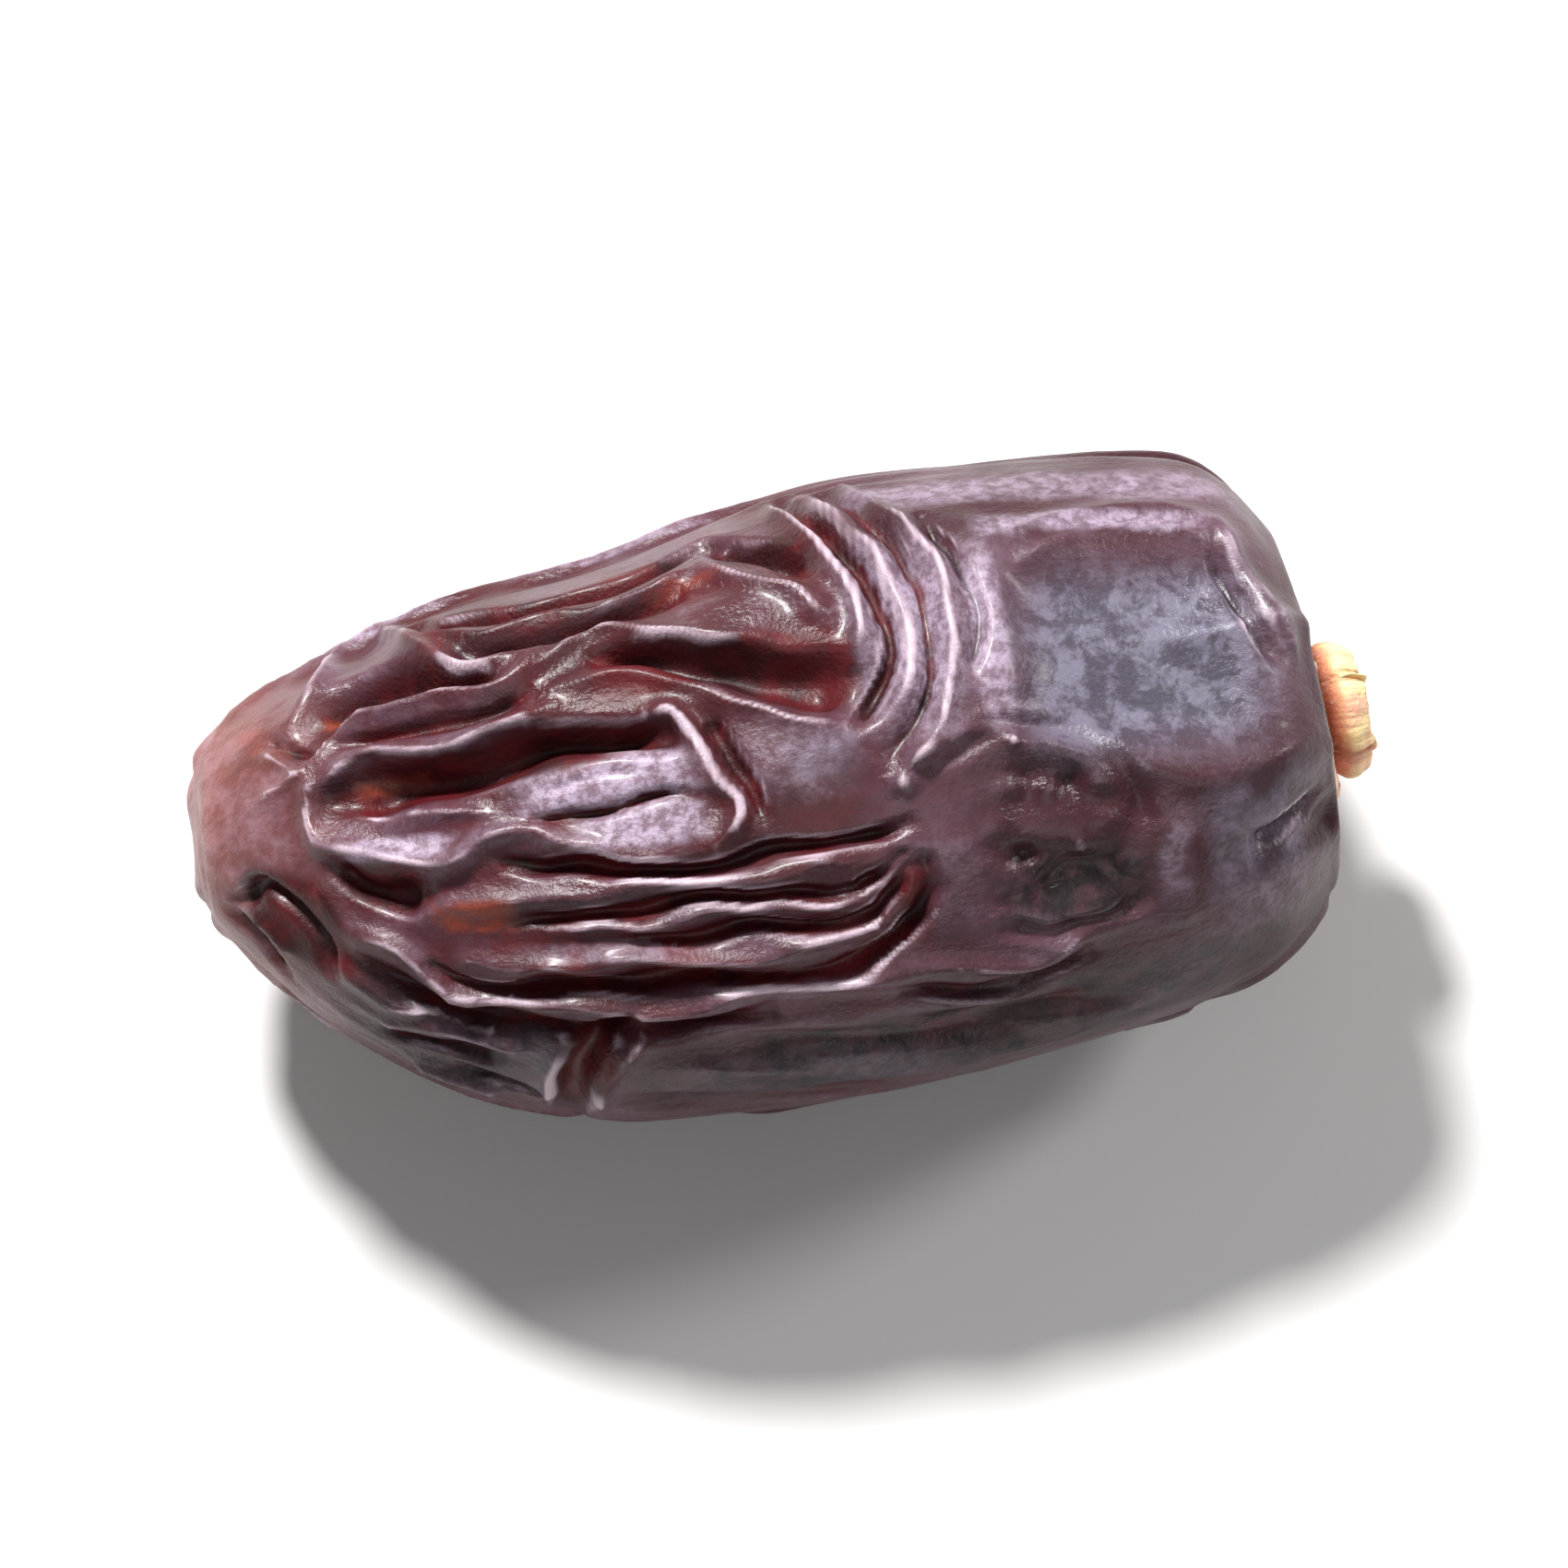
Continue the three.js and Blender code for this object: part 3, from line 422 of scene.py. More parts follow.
# Colours of the skin
SKIN = (0.08, 0.034, 0.05)
SKIN_DARK = (0.034, 0.009, 0.012)
SKIN_WARM = (0.07, 0.011, 0.013)
TIP = (0.3, 0.135, 0.145)
TIP_WARM = (0.2, 0.06, 0.05)
# Pale lilac-white along the ridge crests: a little paler lifted skin, and mostly a painted highlight
CREST_HIGHLIGHT = (0.56, 0.44, 0.51)
# Near-black painted shade in the deepest creases
CREASE_SHADE = (0.008, 0.002, 0.003)
CRIMSON = (0.085, 0.006, 0.008)
CRIMSON_DARK = (0.024, 0.002, 0.003)
ORANGE = (0.24, 0.042, 0.018)
# Lilac-grey: partly bloom, partly a painted sheen of reflected light
BLOOM_AND_SHEEN = (0.4, 0.315, 0.41)
# Blue-grey: bloom and a painted reflection of the sky, mottled with darker spots
SLATE_BLOOM_AND_SHEEN = (0.15, 0.134, 0.18)
SLATE_DARK = (0.06, 0.05, 0.07)
# Dark brown: partly painted shade, partly darker skin
UMBER_AND_SHADE = (0.05, 0.02, 0.026)
UMBER_DARK_AND_SHADE = (0.007, 0.003, 0.0035)

# Noises of the skin: size of the blotches in mm, detail, roughness and twist
CLOUD = (7, 3)
PATCHY = (2.2, 4, 0.6, 0.4)
SPECKLE = (0.5, 3, 0.7)
FLECK = (1.1, 4, 0.7, 0.3)
STREAKS = (1.2, 4, 0.65, 0.3)
STREAK_STRETCH = (0.35, 1, 1)
GLOSS_CLOUD = (3, 4)
WRINKLES = (0.7, 4, 0.6, 0.5)
WRINKLE_STRETCH = (0.25, 1, 1)
GRAIN = (0.22, 3, 0.6)

# For each set of patches, what its noise adds at least and at most, and the sum that is full colour
PATCH_EDGES = {
    "umber_and_shade": (-0.2, 0.1, 0.9),
    "bloom_and_sheen": (-0.15, 0.1, 0.9),
    "slate_bloom_and_sheen": (-0.1, 0.05, 0.9),
    "red": (-0.15, 0.1, 0.7),
    "orange": (-0.3, 0.1, 0.8),
}
PATCH_NOISE = (0.3, 0.7)
PATCH_START = 0.1

# Spans of a noise or a depth, and the shares of a colour that they give
SKIN_SPAN = (0.35, 0.65)
WARM_SHARES = (0.25, 0.85)
WARM_RAGGED = (0.3, 0.65, 0.3, 1)
UMBER_SPAN = (0.38, 0.64)
TIP_RAGGED = (0.2, 0.6, 0.45, 1)
STREAK_SPAN = (0.4, 0.65)
BLOOM_AND_SHEEN_SPECKS = (0.35, 0.65, 0.3, 1)
RAISED = (0.12, -0.2, 0, 1)
FAINT_BLOOM_AND_SHEEN = (0.4, 0.7, 0.02, 0.2)
SLATE_SPAN = (0.4, 0.6)
# the painted crease shade comes in over these depths
CREASE_SHADE_DEPTHS = (0.03, 0.13, 0, 0.8)
# the painted crest highlight comes in over these depths
CREST_HIGHLIGHT_DEPTHS = (-0.025, -0.1, 0, 0.8)
CRIMSON_SPAN = (0.35, 0.65)

# Gloss and bumps of the skin. Skin with bloom and painted sheen, and red skin, are rougher than the rest
SKIN_ROUGHNESS = (0.3, 0.46)
ROUGH_SPAN = (0.3, 0.7)
BLOOM_AND_SHEEN_ROUGHER = (0.1, 0.9, 0, 0.12)
RED_ROUGHER = (0.2, 0.9, 0, 0.14)
SKIN_SPECULAR = 0.3
SKIN_COAT = 0.08
SKIN_COAT_ROUGHNESS = 0.16
SKIN_SUBSURFACE = 0.08
SKIN_SUBSURFACE_RADIUS = (1, 0.25, 0.15)
SKIN_SUBSURFACE_MM = 0.9
BUMP_HEIGHT = 0.05
WRINKLE_SHARE = 0.9

# Colours of the cap and the floor
CORAL = (0.72, 0.2, 0.12)
CORAL_DARK = (0.45, 0.09, 0.04)
CREAM = (0.9, 0.76, 0.55)
# Dark orange-brown painted shade in the neck of the cap and between its fibres
NECK_SHADE = (0.3, 0.07, 0.02)
GOLD = (0.86, 0.66, 0.32)
ROSE = (0.8, 0.42, 0.3)
SCAR = (0.1, 0.04, 0.02)
FLOOR_LOW = (0.6, 0.59, 0.58)
FLOOR_HIGH = (0.64, 0.63, 0.62)

# Noises, spans and surface of the cap, in the same order as the skin's
CAP_PATCHY = (1.1, 4, 0.6, 0.3)
CAP_SPECKLE = (0.25, 3, 0.6)
CORAL_SPAN = (0.3, 0.7)
CREAM_RIM = (0.2, 0.9, 0, 0.8)
NECK_SHADE_SPAN = (0.1, 0.9)
GOLD_SPAN = (0.4, 0.7)
FIBRE_SHADE = (0.2, -0.8, 0, 0.45)
CREAM_SPECKS = (0.55, 0.75, 0, 0.35)
CAP_ROUGH = (0.3, 0.7, 0.45, 0.65)
CAP_FIBRE_SHARE = 0.3
CAP_BUMP_HEIGHT = 0.08
CAP_SUBSURFACE = 0.12
CAP_SUBSURFACE_RADIUS = (1, 0.5, 0.25)
CAP_SUBSURFACE_MM = 0.6

# The floor: its size and the height of its top in metres, its noise and its roughness
FLOOR_SIZE = 2
FLOOR_TOP = -0.00005
FLOOR_CLOUD = (40, 4)
FLOOR_ROUGHNESS = 0.7

# Light: the sky, then each lamp's name, place in metres, size and watts
SKY_COLOUR = (0.94, 0.95, 1, 1)
SKY = 0.2
LIGHTS = (
    ("key", (-0.1, 0.26, 0.4), 0.08, 4.6),
    ("side", (0.42, 0.12, 0.3), 0.12, 1.2),
    ("fill", (0.05, -0.4, 0.4), 0.4, 0.7),
)

# The camera: its direction from the date in degrees, and its lens in mm
CAMERA_AZIMUTH = -7.6
CAMERA_ELEVATION = 68
CAMERA_LENS = 150
CAMERA_SENSOR = 36
CAMERA_NEAREST = 0.01
FRAME_WIDTH = 0.056  # what the camera takes in across the middle of the date, in metres


def smooth(low, high, x):
    t = np.clip((x - low) / (high - low), 0, 1)
    return t * t * (3 - 2 * t)


def stream(seed):
    """A repeatable stream of numbers between 0 and 1."""
    state = seed
    while True:
        state = (state * STREAM_STEP) % STREAM_SIZE
        yield state / STREAM_SIZE


def column_slopes(column):
    """Slope of a column at each station, level where the column turns round."""
    step = np.diff(STATIONS[:, column])
    before, after = step[:-1], step[1:]
    same_way = before * after > 0
    middle = np.where(same_way, 2 * before * after / np.where(same_way, before + after, 1), 0)
    return np.concatenate([[2 * step[0] if column else 0], middle, [0]])


SLOPES = [column_slopes(column) for column in range(5)]


def outline(k, column):
    """A column of the outline at station number k, as a cubic that doesn't swing past them."""
    i = np.minimum(k.astype(int), len(STATIONS) - 2)
    f = k - i
    low, high = STATIONS[i, column], STATIONS[i + 1, column]
    first, last = SLOPES[column][i], SLOPES[column][i + 1]
    level = low * (1 + 2 * f) * (1 - f) ** 2 + high * f * f * (3 - 2 * f)
    return level + first * f * (1 - f) ** 2 - last * f * f * (1 - f)


def plain_skin(k, angle):
    """The smooth fruit under its folds, at an angle from +Z towards +Y."""
    k, angle = np.broadcast_arrays(np.asarray(k, float), np.asarray(angle, float))
    across, up = np.sin(angle), np.cos(angle)
    y = across * np.where(across > 0, outline(k, 1), outline(k, 2))
    z = up * np.where(up > 0, outline(k, 3), outline(k, 4))
    x = outline(k, 0)
    return np.stack([x - END_SLANT * y * smooth(*SLANT, x), y, z], axis=-1)


def station_at(place):
    """Station number for a place along the skin, from 0 at the tip to 1 in the dish."""
    reach = STATIONS[:, 1:].mean(axis=1)
    steps = np.hypot(np.diff(STATIONS[:, 0]), np.diff(reach))
    places = np.concatenate([[0], np.cumsum(steps)])
    return np.interp(place, places / places[-1], np.arange(len(STATIONS)))


def halved(low, high, above):
    """The place between low and high where above() turns from true to false."""
    for _ in range(HALVINGS):
        middle = (low + high) / 2
        is_above = above(middle)
        low = np.where(is_above, low, middle)
        high = np.where(is_above, middle, high)
    return low


def station_of_x(x):
    x = np.asarray(x, float)
    first, last = np.zeros_like(x), np.full_like(x, RIM_STATION)
    return halved(first, last, lambda k: outline(k, 0) >= x)


def seen_points(route):
    """Points of the plain skin at x and this far across, as seen from DRAWN_FROM."""
    route = np.asarray(route, float).reshape(-1, 2)
    k = station_of_x(route[:, 0])
    near = np.full(len(route), DRAWN_FROM - math.pi)
    far = np.full(len(route), DRAWN_FROM)

    def above(angle):
        p = plain_skin(k, angle)
        return p[:, 1] * math.sin(DRAWN_FROM) + p[:, 2] * math.cos(DRAWN_FROM) > route[:, 1]

    return plain_skin(k, halved(near, far, above))


def rounded(route, parts=ROUTE_PARTS):
    """Points of the smooth curve through a route's points."""
    route = np.asarray(route, float)
    lengths = np.linalg.norm(np.diff(route, axis=0), axis=1)
    places = np.concatenate([[0], np.cumsum(lengths)])
    slopes = np.gradient(route, places, axis=0)
    fine = np.linspace(0, places[-1], len(lengths) * parts + 1)
    i = np.clip(np.searchsorted(places, fine, side="right") - 1, 0, len(lengths) - 1)
    step = lengths[i][:, None]
    f = (fine - places[i])[:, None] / step
    level = route[i] * (1 + 2 * f) * (1 - f) ** 2 + route[i + 1] * f * f * (3 - 2 * f)
    return level + step * (slopes[i] * f * (1 - f) ** 2 - slopes[i + 1] * f * f * (1 - f))


def seen_folds():
    return [(height, width, seen_points(rounded(route))) for height, width, route in SEEN_FOLDS]


def pick(random, span):
    return span[0] + (span[1] - span[0]) * next(random)


def far_folds(random):
    folds = []
    spacing = (FAR_TO - FAR_FROM) / FAR_ROWS
    for row in range(FAR_ROWS):
        x = pick(random, FAR_START)
        while x < FAR_END - FAR_LENGTH[0] / 2:
            end = min(x + pick(random, FAR_LENGTH), FAR_END)
            height = pick(random, FAR_HEIGHT) * (1 - FAR_CALM * float(smooth(*FAR_CALM_X, x)))
            width = pick(random, FAR_WIDTH) * FAR_SHARPER
            degrees = FAR_FROM + (row + FAR_SCATTER * next(random)) * spacing
            places = []
            while x < end:
                degrees += FAR_SWAY * (next(random) - 0.5)
                places.append((x, degrees))
                x += FAR_STEP
            if len(places) > 1:
                xs, turns = np.array(places).T
                k = station_of_x(xs)
                height *= FAR_BOLDER
                folds.append((height, width, plain_skin(k, np.radians(turns))))
                beside = plain_skin(k, np.radians(turns + spacing / 2))
                folds.append((-height, GROOVE_SHARE * width, beside))
            x = end + pick(random, FAR_PAUSE)
    return folds


def puckers(random):
    folds = []
    for n in range(PUCKER_COUNT):
        angle = (n + PUCKER_SCATTER * next(random)) / PUCKER_COUNT * 2 * math.pi
        lean = PUCKER_LEAN * (next(random) - 0.5)
        end = station_of_x(pick(random, PUCKER_END_X))
        f = np.linspace(0, 1, PUCKER_POINTS)
        points = plain_skin(RIM_STATION + (end - RIM_STATION) * f, angle + lean * f)
        height = (-1 if n % 2 else 1) * pick(random, PUCKER_HEIGHT)
        folds.append((height, pick(random, PUCKER_WIDTH), points))
    return folds


def seen_dents():
    return [(height, seen_points((x, across))[0], length, breadth, crispness)
            for height, x, across, length, breadth, crispness in SEEN_DENTS]


def pits(random):
    made = []
    for n in range(PIT_COUNT):
        turn = 2 * math.pi * next(random)
        reach = math.sqrt(next(random))
        x = PIT_MIDDLE[0] + PIT_SPREAD[0] * reach * math.cos(turn)
        across = PIT_MIDDLE[1] + PIT_SPREAD[1] * reach * math.sin(turn)
        height = (-1 if n % 2 else 1) * pick(random, PIT_HEIGHT)
        length, breadth = pick(random, PIT_RADIUS), pick(random, PIT_RADIUS)
        made.append((height, seen_points((x, across))[0], length, breadth, PIT_CRISPNESS))
    return made


def far_dents(random):
    dents = []
    for n in range(FAR_DENTS):
        x = FAR_START[1] + (FAR_END - FAR_START[1]) * (n + next(random)) / FAR_DENTS
        degrees = FAR_FROM + (FAR_TO - FAR_FROM) * next(random)
        centre = plain_skin(station_of_x(x), math.radians(degrees))
        length = pick(random, FAR_DENT_SIZE)
        breadth = FAR_DENT_BREADTH * length
        dents.append((-pick(random, FAR_DENT_DEPTH), centre, length, breadth, FAR_DENT_CRISPNESS))
    return dents


def swayed(p):
    q = p.copy()
    for reach, waves in SWAYS:
        q += reach * np.stack([np.sin(p @ np.array(wave)) for wave in waves], axis=-1)
    return q


def fold_height(fold, p):
    """Height that one fold gives the skin at each p."""
    height, width, points = fold
    reach = REACH * np.max(width)
    near = np.all((p > points.min(axis=0) - reach) & (p < points.max(axis=0) + reach), axis=1)
    q = p[near]
    best = np.full(len(q), np.inf)
    along = np.zeros(len(q))
    pieces = len(points) - 1
    for i in range(pieces):
        run = points[i + 1] - points[i]
        t = np.clip((q - points[i]) @ run / (run @ run), 0, 1)
        distance = np.linalg.norm(q - points[i] - t[:, None] * run, axis=1)
        closer = distance < best
        best[closer] = distance[closer]
        along[closer] = (i + t[closer]) / pieces
    inner = smooth(0, FOLD_FADE, np.minimum(along, 1 - along))
    rise = FOLD_END_SHARE + (1 - FOLD_END_SHARE) * inner
    rise[best > reach] = 0
    heights = np.zeros(len(p))
    if not np.isscalar(width):
        width = width[0] + (width[1] - width[0]) * along
    if height > 0:
        rounding = CREST_ROUNDING * width
        slant = (np.hypot(best, rounding) - rounding) / width
        heights[near] = height * rise * np.exp(-(slant ** CREST_POWER))
    else:
        heights[near] = height * rise * np.exp(-((best / width) ** VALLEY_POWER))
    return heights


def dent_weight(p, centre, length, breadth, crispness):
    """How strongly a patch is felt at each p, from 0 to 1."""
    out = np.array([0, centre[1], centre[2]])
    out /= np.linalg.norm(out)
    side = np.array([0, out[2], -out[1]])
    away = p - centre
    reach = np.abs(away[:, 0] / length) ** crispness + np.abs(away @ side / breadth) ** crispness
    return np.where(p @ out < 0, 0, np.exp(-reach))


def cube_ball(cells):
    """Grid places on a cube's surface, and its quads facing out."""
    keys = []
    quads = []
    span = cells + 1
    line = np.arange(span)
    for axis in range(3):
        for level in (0, cells):
            u, v = np.meshgrid(line, line, indexing="ij")
            grid = [None, None, None]
            grid[axis] = np.full_like(u, level)
            grid[(axis + 1) % 3] = u
            grid[(axis + 2) % 3] = v
            key = (grid[0] * span + grid[1]) * span + grid[2]
            corners = [key[:-1, :-1], key[1:, :-1], key[1:, 1:], key[:-1, 1:]]
            if level == 0:
                corners = corners[::-1]
            quads.append(np.stack([c.ravel() for c in corners], axis=1))
            keys.append(key.ravel())
    names, _ = np.unique(np.concatenate(keys), return_inverse=True)
    quads = np.searchsorted(names, np.concatenate(quads))
    return np.stack([names // (span * span), names // span % span, names % span], axis=1), quads


def refined(values, places, cells):
    """Values on a cube's grid, carried over to the grid of twice as many cells."""
    span = cells // 2 + 1
    coarse, _ = cube_ball(cells // 2)
    names = (coarse[:, 0] * span + coarse[:, 1]) * span + coarse[:, 2]
    total = 0
    for corner in range(8):
        up = np.array([corner & 1, corner >> 1 & 1, corner >> 2 & 1])
        near = (places + up) // 2
        name = (near[:, 0] * span + near[:, 1]) * span + near[:, 2]
        total = total + values[np.searchsorted(names, name)]
    return total / 8


def scattered(index, values, count):
    """Sum of the rows of values that share an index."""
    return np.stack([np.bincount(index, v, count) for v in values.T], axis=1)


def normals_of(points, quads):
    a, b, c, d = (points[quads[:, i]] for i in range(4))
    face = np.cross(c - a, d - b)
    total = sum(scattered(quads[:, i], face, len(points)) for i in range(4))
    return total / np.linalg.norm(total, axis=1)[:, None]


def neighbour_pairs(quads):
    """Every edge of the quads once, and both diagonals of each."""
    sides = [np.sort(quads[:, [i, (i + 1) % 4]], axis=1) for i in range(4)]
    sides = np.unique(np.concatenate(sides), axis=0)
    crosses = np.concatenate([quads[:, [0, 2]], quads[:, [1, 3]]])
    return sides, crosses


def spread(values, sides, rounds):
    """values drawn towards the mean of their neighbours, this many times."""
    count = np.bincount(sides.ravel(), minlength=len(values))
    for _ in range(rounds):
        total = np.bincount(sides[:, 0], values[sides[:, 1]], len(values))
        total += np.bincount(sides[:, 1], values[sides[:, 0]], len(values))
        values = values * (1 - EVEN_SHARE) + total / count * EVEN_SHARE
    return values


def patch_weight(patches, p):
    """How strongly the listed patches of the seen side are felt at each p, from 0 to 1."""
    weight = np.zeros(len(p))
    for strength, x, across, length, breadth in patches:
        centre = seen_points((x, across))[0]
        here = strength * dent_weight(p, centre, length, breadth, PATCH_CRISPNESS)
        weight = np.maximum(weight, here)
    return weight


def seen_side(p):
    """1 on the side that DRAWN_FROM looks at, 0 on the other."""
    toward = p[:, 2] * math.sin(DRAWN_FROM) - p[:, 1] * math.cos(DRAWN_FROM)
    return smooth(*SEEN_EDGE, toward)


def folded_skin(places, cells, quads, folds, dents):
    """The fruit with its folds, the plain one with its normals, and what keeps off the dish."""
    direction = np.tan((places / cells * 2 - 1) * math.pi / 4)
    direction /= np.linalg.norm(direction, axis=1)[:, None]
    place = np.arccos(np.clip(-direction[:, 0], -1, 1)) / math.pi
    points = plain_skin(station_at(place), np.arctan2(direction[:, 1], direction[:, 2]))
    lowest = points[:, 2].min()
    q = swayed(points)
    heights = np.zeros(len(points))
    for fold in folds:
        heights += fold_height(fold, q)
    for height, *patch in dents:
        heights += height * dent_weight(q, *patch)
    heights = np.where(heights > 0, RISE_LIMIT * np.tanh(heights / RISE_LIMIT), heights)
    free = smooth(0, CALM_RISE, points[:, 2] - lowest)
    from_dish = np.hypot(points[:, 1], points[:, 2]) - DISH_RADIUS + DISH_X - points[:, 0]
    free *= smooth(*DISH_CALM, from_dish)
    out = normals_of(points, quads)
    return points + out * (heights * free)[:, None], points, out, free


def grown(points, quads, free, loose, rise_round, rise_along, stiffness, hold, steps):
    """The skin after it has grown and buckled, held near its place by the flesh."""
    sides, crosses = neighbour_pairs(quads)
    pairs = np.concatenate([sides, crosses])
    start, end = pairs.T
    count = len(points)
    run = points[end] - points[start]
    length = np.linalg.norm(run, axis=1)
    along = (run[:, 0] / length) ** 2
    growth = rise_round * (1 - along) ** GROWTH_TURN + rise_along * along ** GROWTH_TURN
    growth *= (loose[start] + loose[end]) / 2
    target = length * (1 + growth)
    degree = np.bincount(sides.ravel(), minlength=count)[:, None]
    random = np.random.default_rng(GROWTH_SEED)
    uneven = random.normal(0, GROWTH_START, count) * free
    now = points + normals_of(points, quads) * uneven[:, None]
    speed = np.zeros_like(points)

    def summed(values):
        near = scattered(sides[:, 0], values[sides[:, 1]], count)
        return near + scattered(sides[:, 1], values[sides[:, 0]], count)

    for _ in range(steps):
        run = now[end] - now[start]
        pull = run * (1 - target / np.linalg.norm(run, axis=1))[:, None]
        force = scattered(start, pull, count) - scattered(end, pull, count)
        away = now - points
        bent = summed(away) / degree - away
        force -= stiffness * (summed(bent / degree) - bent)
        force -= hold * away
        speed = GROWTH_KEEP * speed + GROWTH_PACE * force
        now = now + speed * np.minimum(free * GROWTH_EASE, 1)[:, None]
    return now


def looseness(plain, free):
    """How much of the growth each point takes part in."""
    calm = patch_weight(CALM_PATCHES, plain)
    calm = np.maximum(calm, smooth(*FAR_CALM_X, plain[:, 0]) * FAR_CALM)
    return free * (1 - calm) * (1 - (1 - SEEN_GROWTH) * seen_side(plain))


def fruit_points():
    """The finished fruit in mm: points, quads, how high each point stands, and the plain points."""
    random = stream(FAR_SEED)
    folds = seen_folds() + far_folds(random) + puckers(random)
    dents = seen_dents() + far_dents(random) + pits(random)
    moved = None
    for cells, *how in GROWTH:
        places, quads = cube_ball(cells)
        points, plain, out, free = folded_skin(places, cells, quads, folds, dents)
        if moved is not None:
            points = points + refined(moved, places, cells)
        after = grown(points, quads, free, looseness(plain, free), *how)
        moved = after - points if moved is None else moved
    after[:, 2] = np.maximum(after[:, 2], plain[:, 2].min() + FLAT_SPOT_RISE)
    heights = np.sum((after - plain) * out, axis=1)
    return after, quads, heights, plain


def mesh_object(name, points, faces, material):
    mesh = bpy.data.meshes.new(name)
    mesh.from_pydata(points.tolist(), [], faces)
    mesh.validate()
    mesh.shade_smooth()
    mesh.materials.append(material)
    piece = bpy.data.objects.new(name, mesh)
    bpy.context.scene.collection.objects.link(piece)
    return piece


def attribute(piece, name, values):
    piece.data.attributes.new(name, "FLOAT", "POINT").data.foreach_set("value", values)


def red_share(plain):
    """How red a hollow is, which is most by the tip."""
    side = RED_FAR + (1 - RED_FAR) * seen_side(plain)
    return side * (1 - RED_FADE * smooth(*RED_FADE_X, plain[:, 0]))


def make_fruit():
    points, quads, heights, plain = fruit_points()
    low, high = (np.array(corner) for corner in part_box("date_fruit"))
    shift = (low + high) / 2 / MM - (points.min(axis=0) + points.max(axis=0)) / 2
    shift[2] = low[2] / MM - points[:, 2].min()
    fruit = mesh_object("fruit", (points + shift) * MM, quads.tolist(), skin_material())
    sides, _ = neighbour_pairs(quads)
    hollow = spread(heights, sides, HOLLOW_ROUNDS) - heights
    red = smooth(*RED_HOLLOW, hollow) * red_share(plain)
    attribute(fruit, "hollow", hollow)
    attribute(fruit, "crease", spread(heights, sides, CREASE_ROUNDS) - heights)
    attribute(fruit, "red", np.maximum(red, patch_weight(RED_PATCHES, plain)))
    for name, spots in COLOUR_PATCHES.items():
        attribute(fruit, name, patch_weight(spots, plain))
    attribute(fruit, "pale", 1 - smooth(PALE_X[1], PALE_X[0], plain[:, 0]))
    attribute(fruit, "warm", 1 - smooth(WARM_X[1], WARM_X[0], plain[:, 0]))
    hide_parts("date_fruit")
    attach(fruit, "root")


def fibre(angle, waves):
    """Irregular fibres round the cap: a fixed sum of waves at each angle, about -1 to 1."""
    total = sum(math.sin(WAVE_SIZE_TURN * n) * np.cos(n * angle + WAVE_PLACE_TURN * n) for n in waves)
    return total / math.sqrt(len(waves) / 4)


def cap_points():
    """Points and quads of the cap in mm, each point's values in its ring, and the fibre there."""
    rows = rounded(CAP_RINGS, CAP_RING_PARTS)
    share, height, follow = (column[:, None] for column in rows.T)
    angle = np.arange(CAP_SECTORS) / CAP_SECTORS * 2 * math.pi
    lobes = np.cos(CAP_LOBES * angle)
    skirt = LOBE_DEPTH * lobes + SKIRT_WAVE * np.cos(SKIRT_WAVES * angle + SKIRT_WAVE_TURN)
    skirt = skirt + SKIRT_FRAY * fibre(angle, FRAY_WAVES)
    on_top = smooth(0.5 * SKIRT_THICKNESS, SKIRT_THICKNESS, height)
    radius = share * (CAP_RADIUS + skirt * (1 - SCAR_ROUNDNESS * follow))
    wobble = fibre(angle + BELL_TWIST * share, BELL_WAVES)
    radius = radius * (1 + follow * BELL_WOBBLE * wobble)
    ribs = fibre(angle + FIBRE_TWIST * share, FIBRE_WAVES) * smooth(*FIBRE_FROM, share)
    wave = fibre(angle + BELL_RISE_TURN, BELL_RISE_WAVES)
    rise = height * (1 + BELL_RISE_SHARE * BELL_WOBBLE * follow * wave)
    rise = rise - LOBE_CURL * (1 - follow) * lobes * on_top + FIBRE_HEIGHT * ribs * on_top
    y = radius * np.sin(angle) + follow * RING_OFFSET[0]
    z = radius * np.cos(angle) + follow * RING_OFFSET[1]
    x = DISH_X + CAP_GAP + rise - END_SLANT * y
    points = np.stack([x, y, z], axis=-1).reshape(-1, 3)
    rings = len(rows)
    at = np.arange(rings * CAP_SECTORS).reshape(rings, CAP_SECTORS)
    beside = np.roll(at, -1, axis=1)
    quads = np.stack([at[:-1], at[1:], beside[1:], beside[:-1]], axis=-1).reshape(-1, 4)
    spans = [np.broadcast_to(column, at.shape).ravel() for column in (share, height, follow)]
    return points, quads, spans, np.broadcast_to(ribs, at.shape).ravel()


def make_cap():
    points, quads, (share, height, follow), ribs = cap_points()
    low, high = (np.array(corner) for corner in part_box("date_calyx"))
    shift = (low + high) / 2 / MM - (points.min(axis=0) + points.max(axis=0)) / 2
    faces = quads.tolist()
    last = len(points) - CAP_SECTORS
    faces.append(list(range(CAP_SECTORS)))
    faces.append(list(range(last, len(points)))[::-1])
    cap = mesh_object("calyx", (points + shift) * MM, faces, cap_material())
    attribute(cap, "rim", smooth(*RIM_SHARES, share) * (1 - follow))
    attribute(cap, "bell", smooth(*BELL_HEIGHTS, height))
    # where the neck's painted shade lies
    attribute(cap, "neck_shade", follow * (1 - smooth(*NECK_SHADE_HEIGHTS, height)))
    attribute(cap, "scar", smooth(*SCAR_SHARES, share) * smooth(*SCAR_HEIGHTS, height))
    attribute(cap, "fibre", ribs)
    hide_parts("date_calyx")
    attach(cap, "root")


def new_material(name):
    material = bpy.data.materials.new(name)
    material.use_nodes = True
    return material.node_tree, material.node_tree.nodes["Principled BSDF"], material


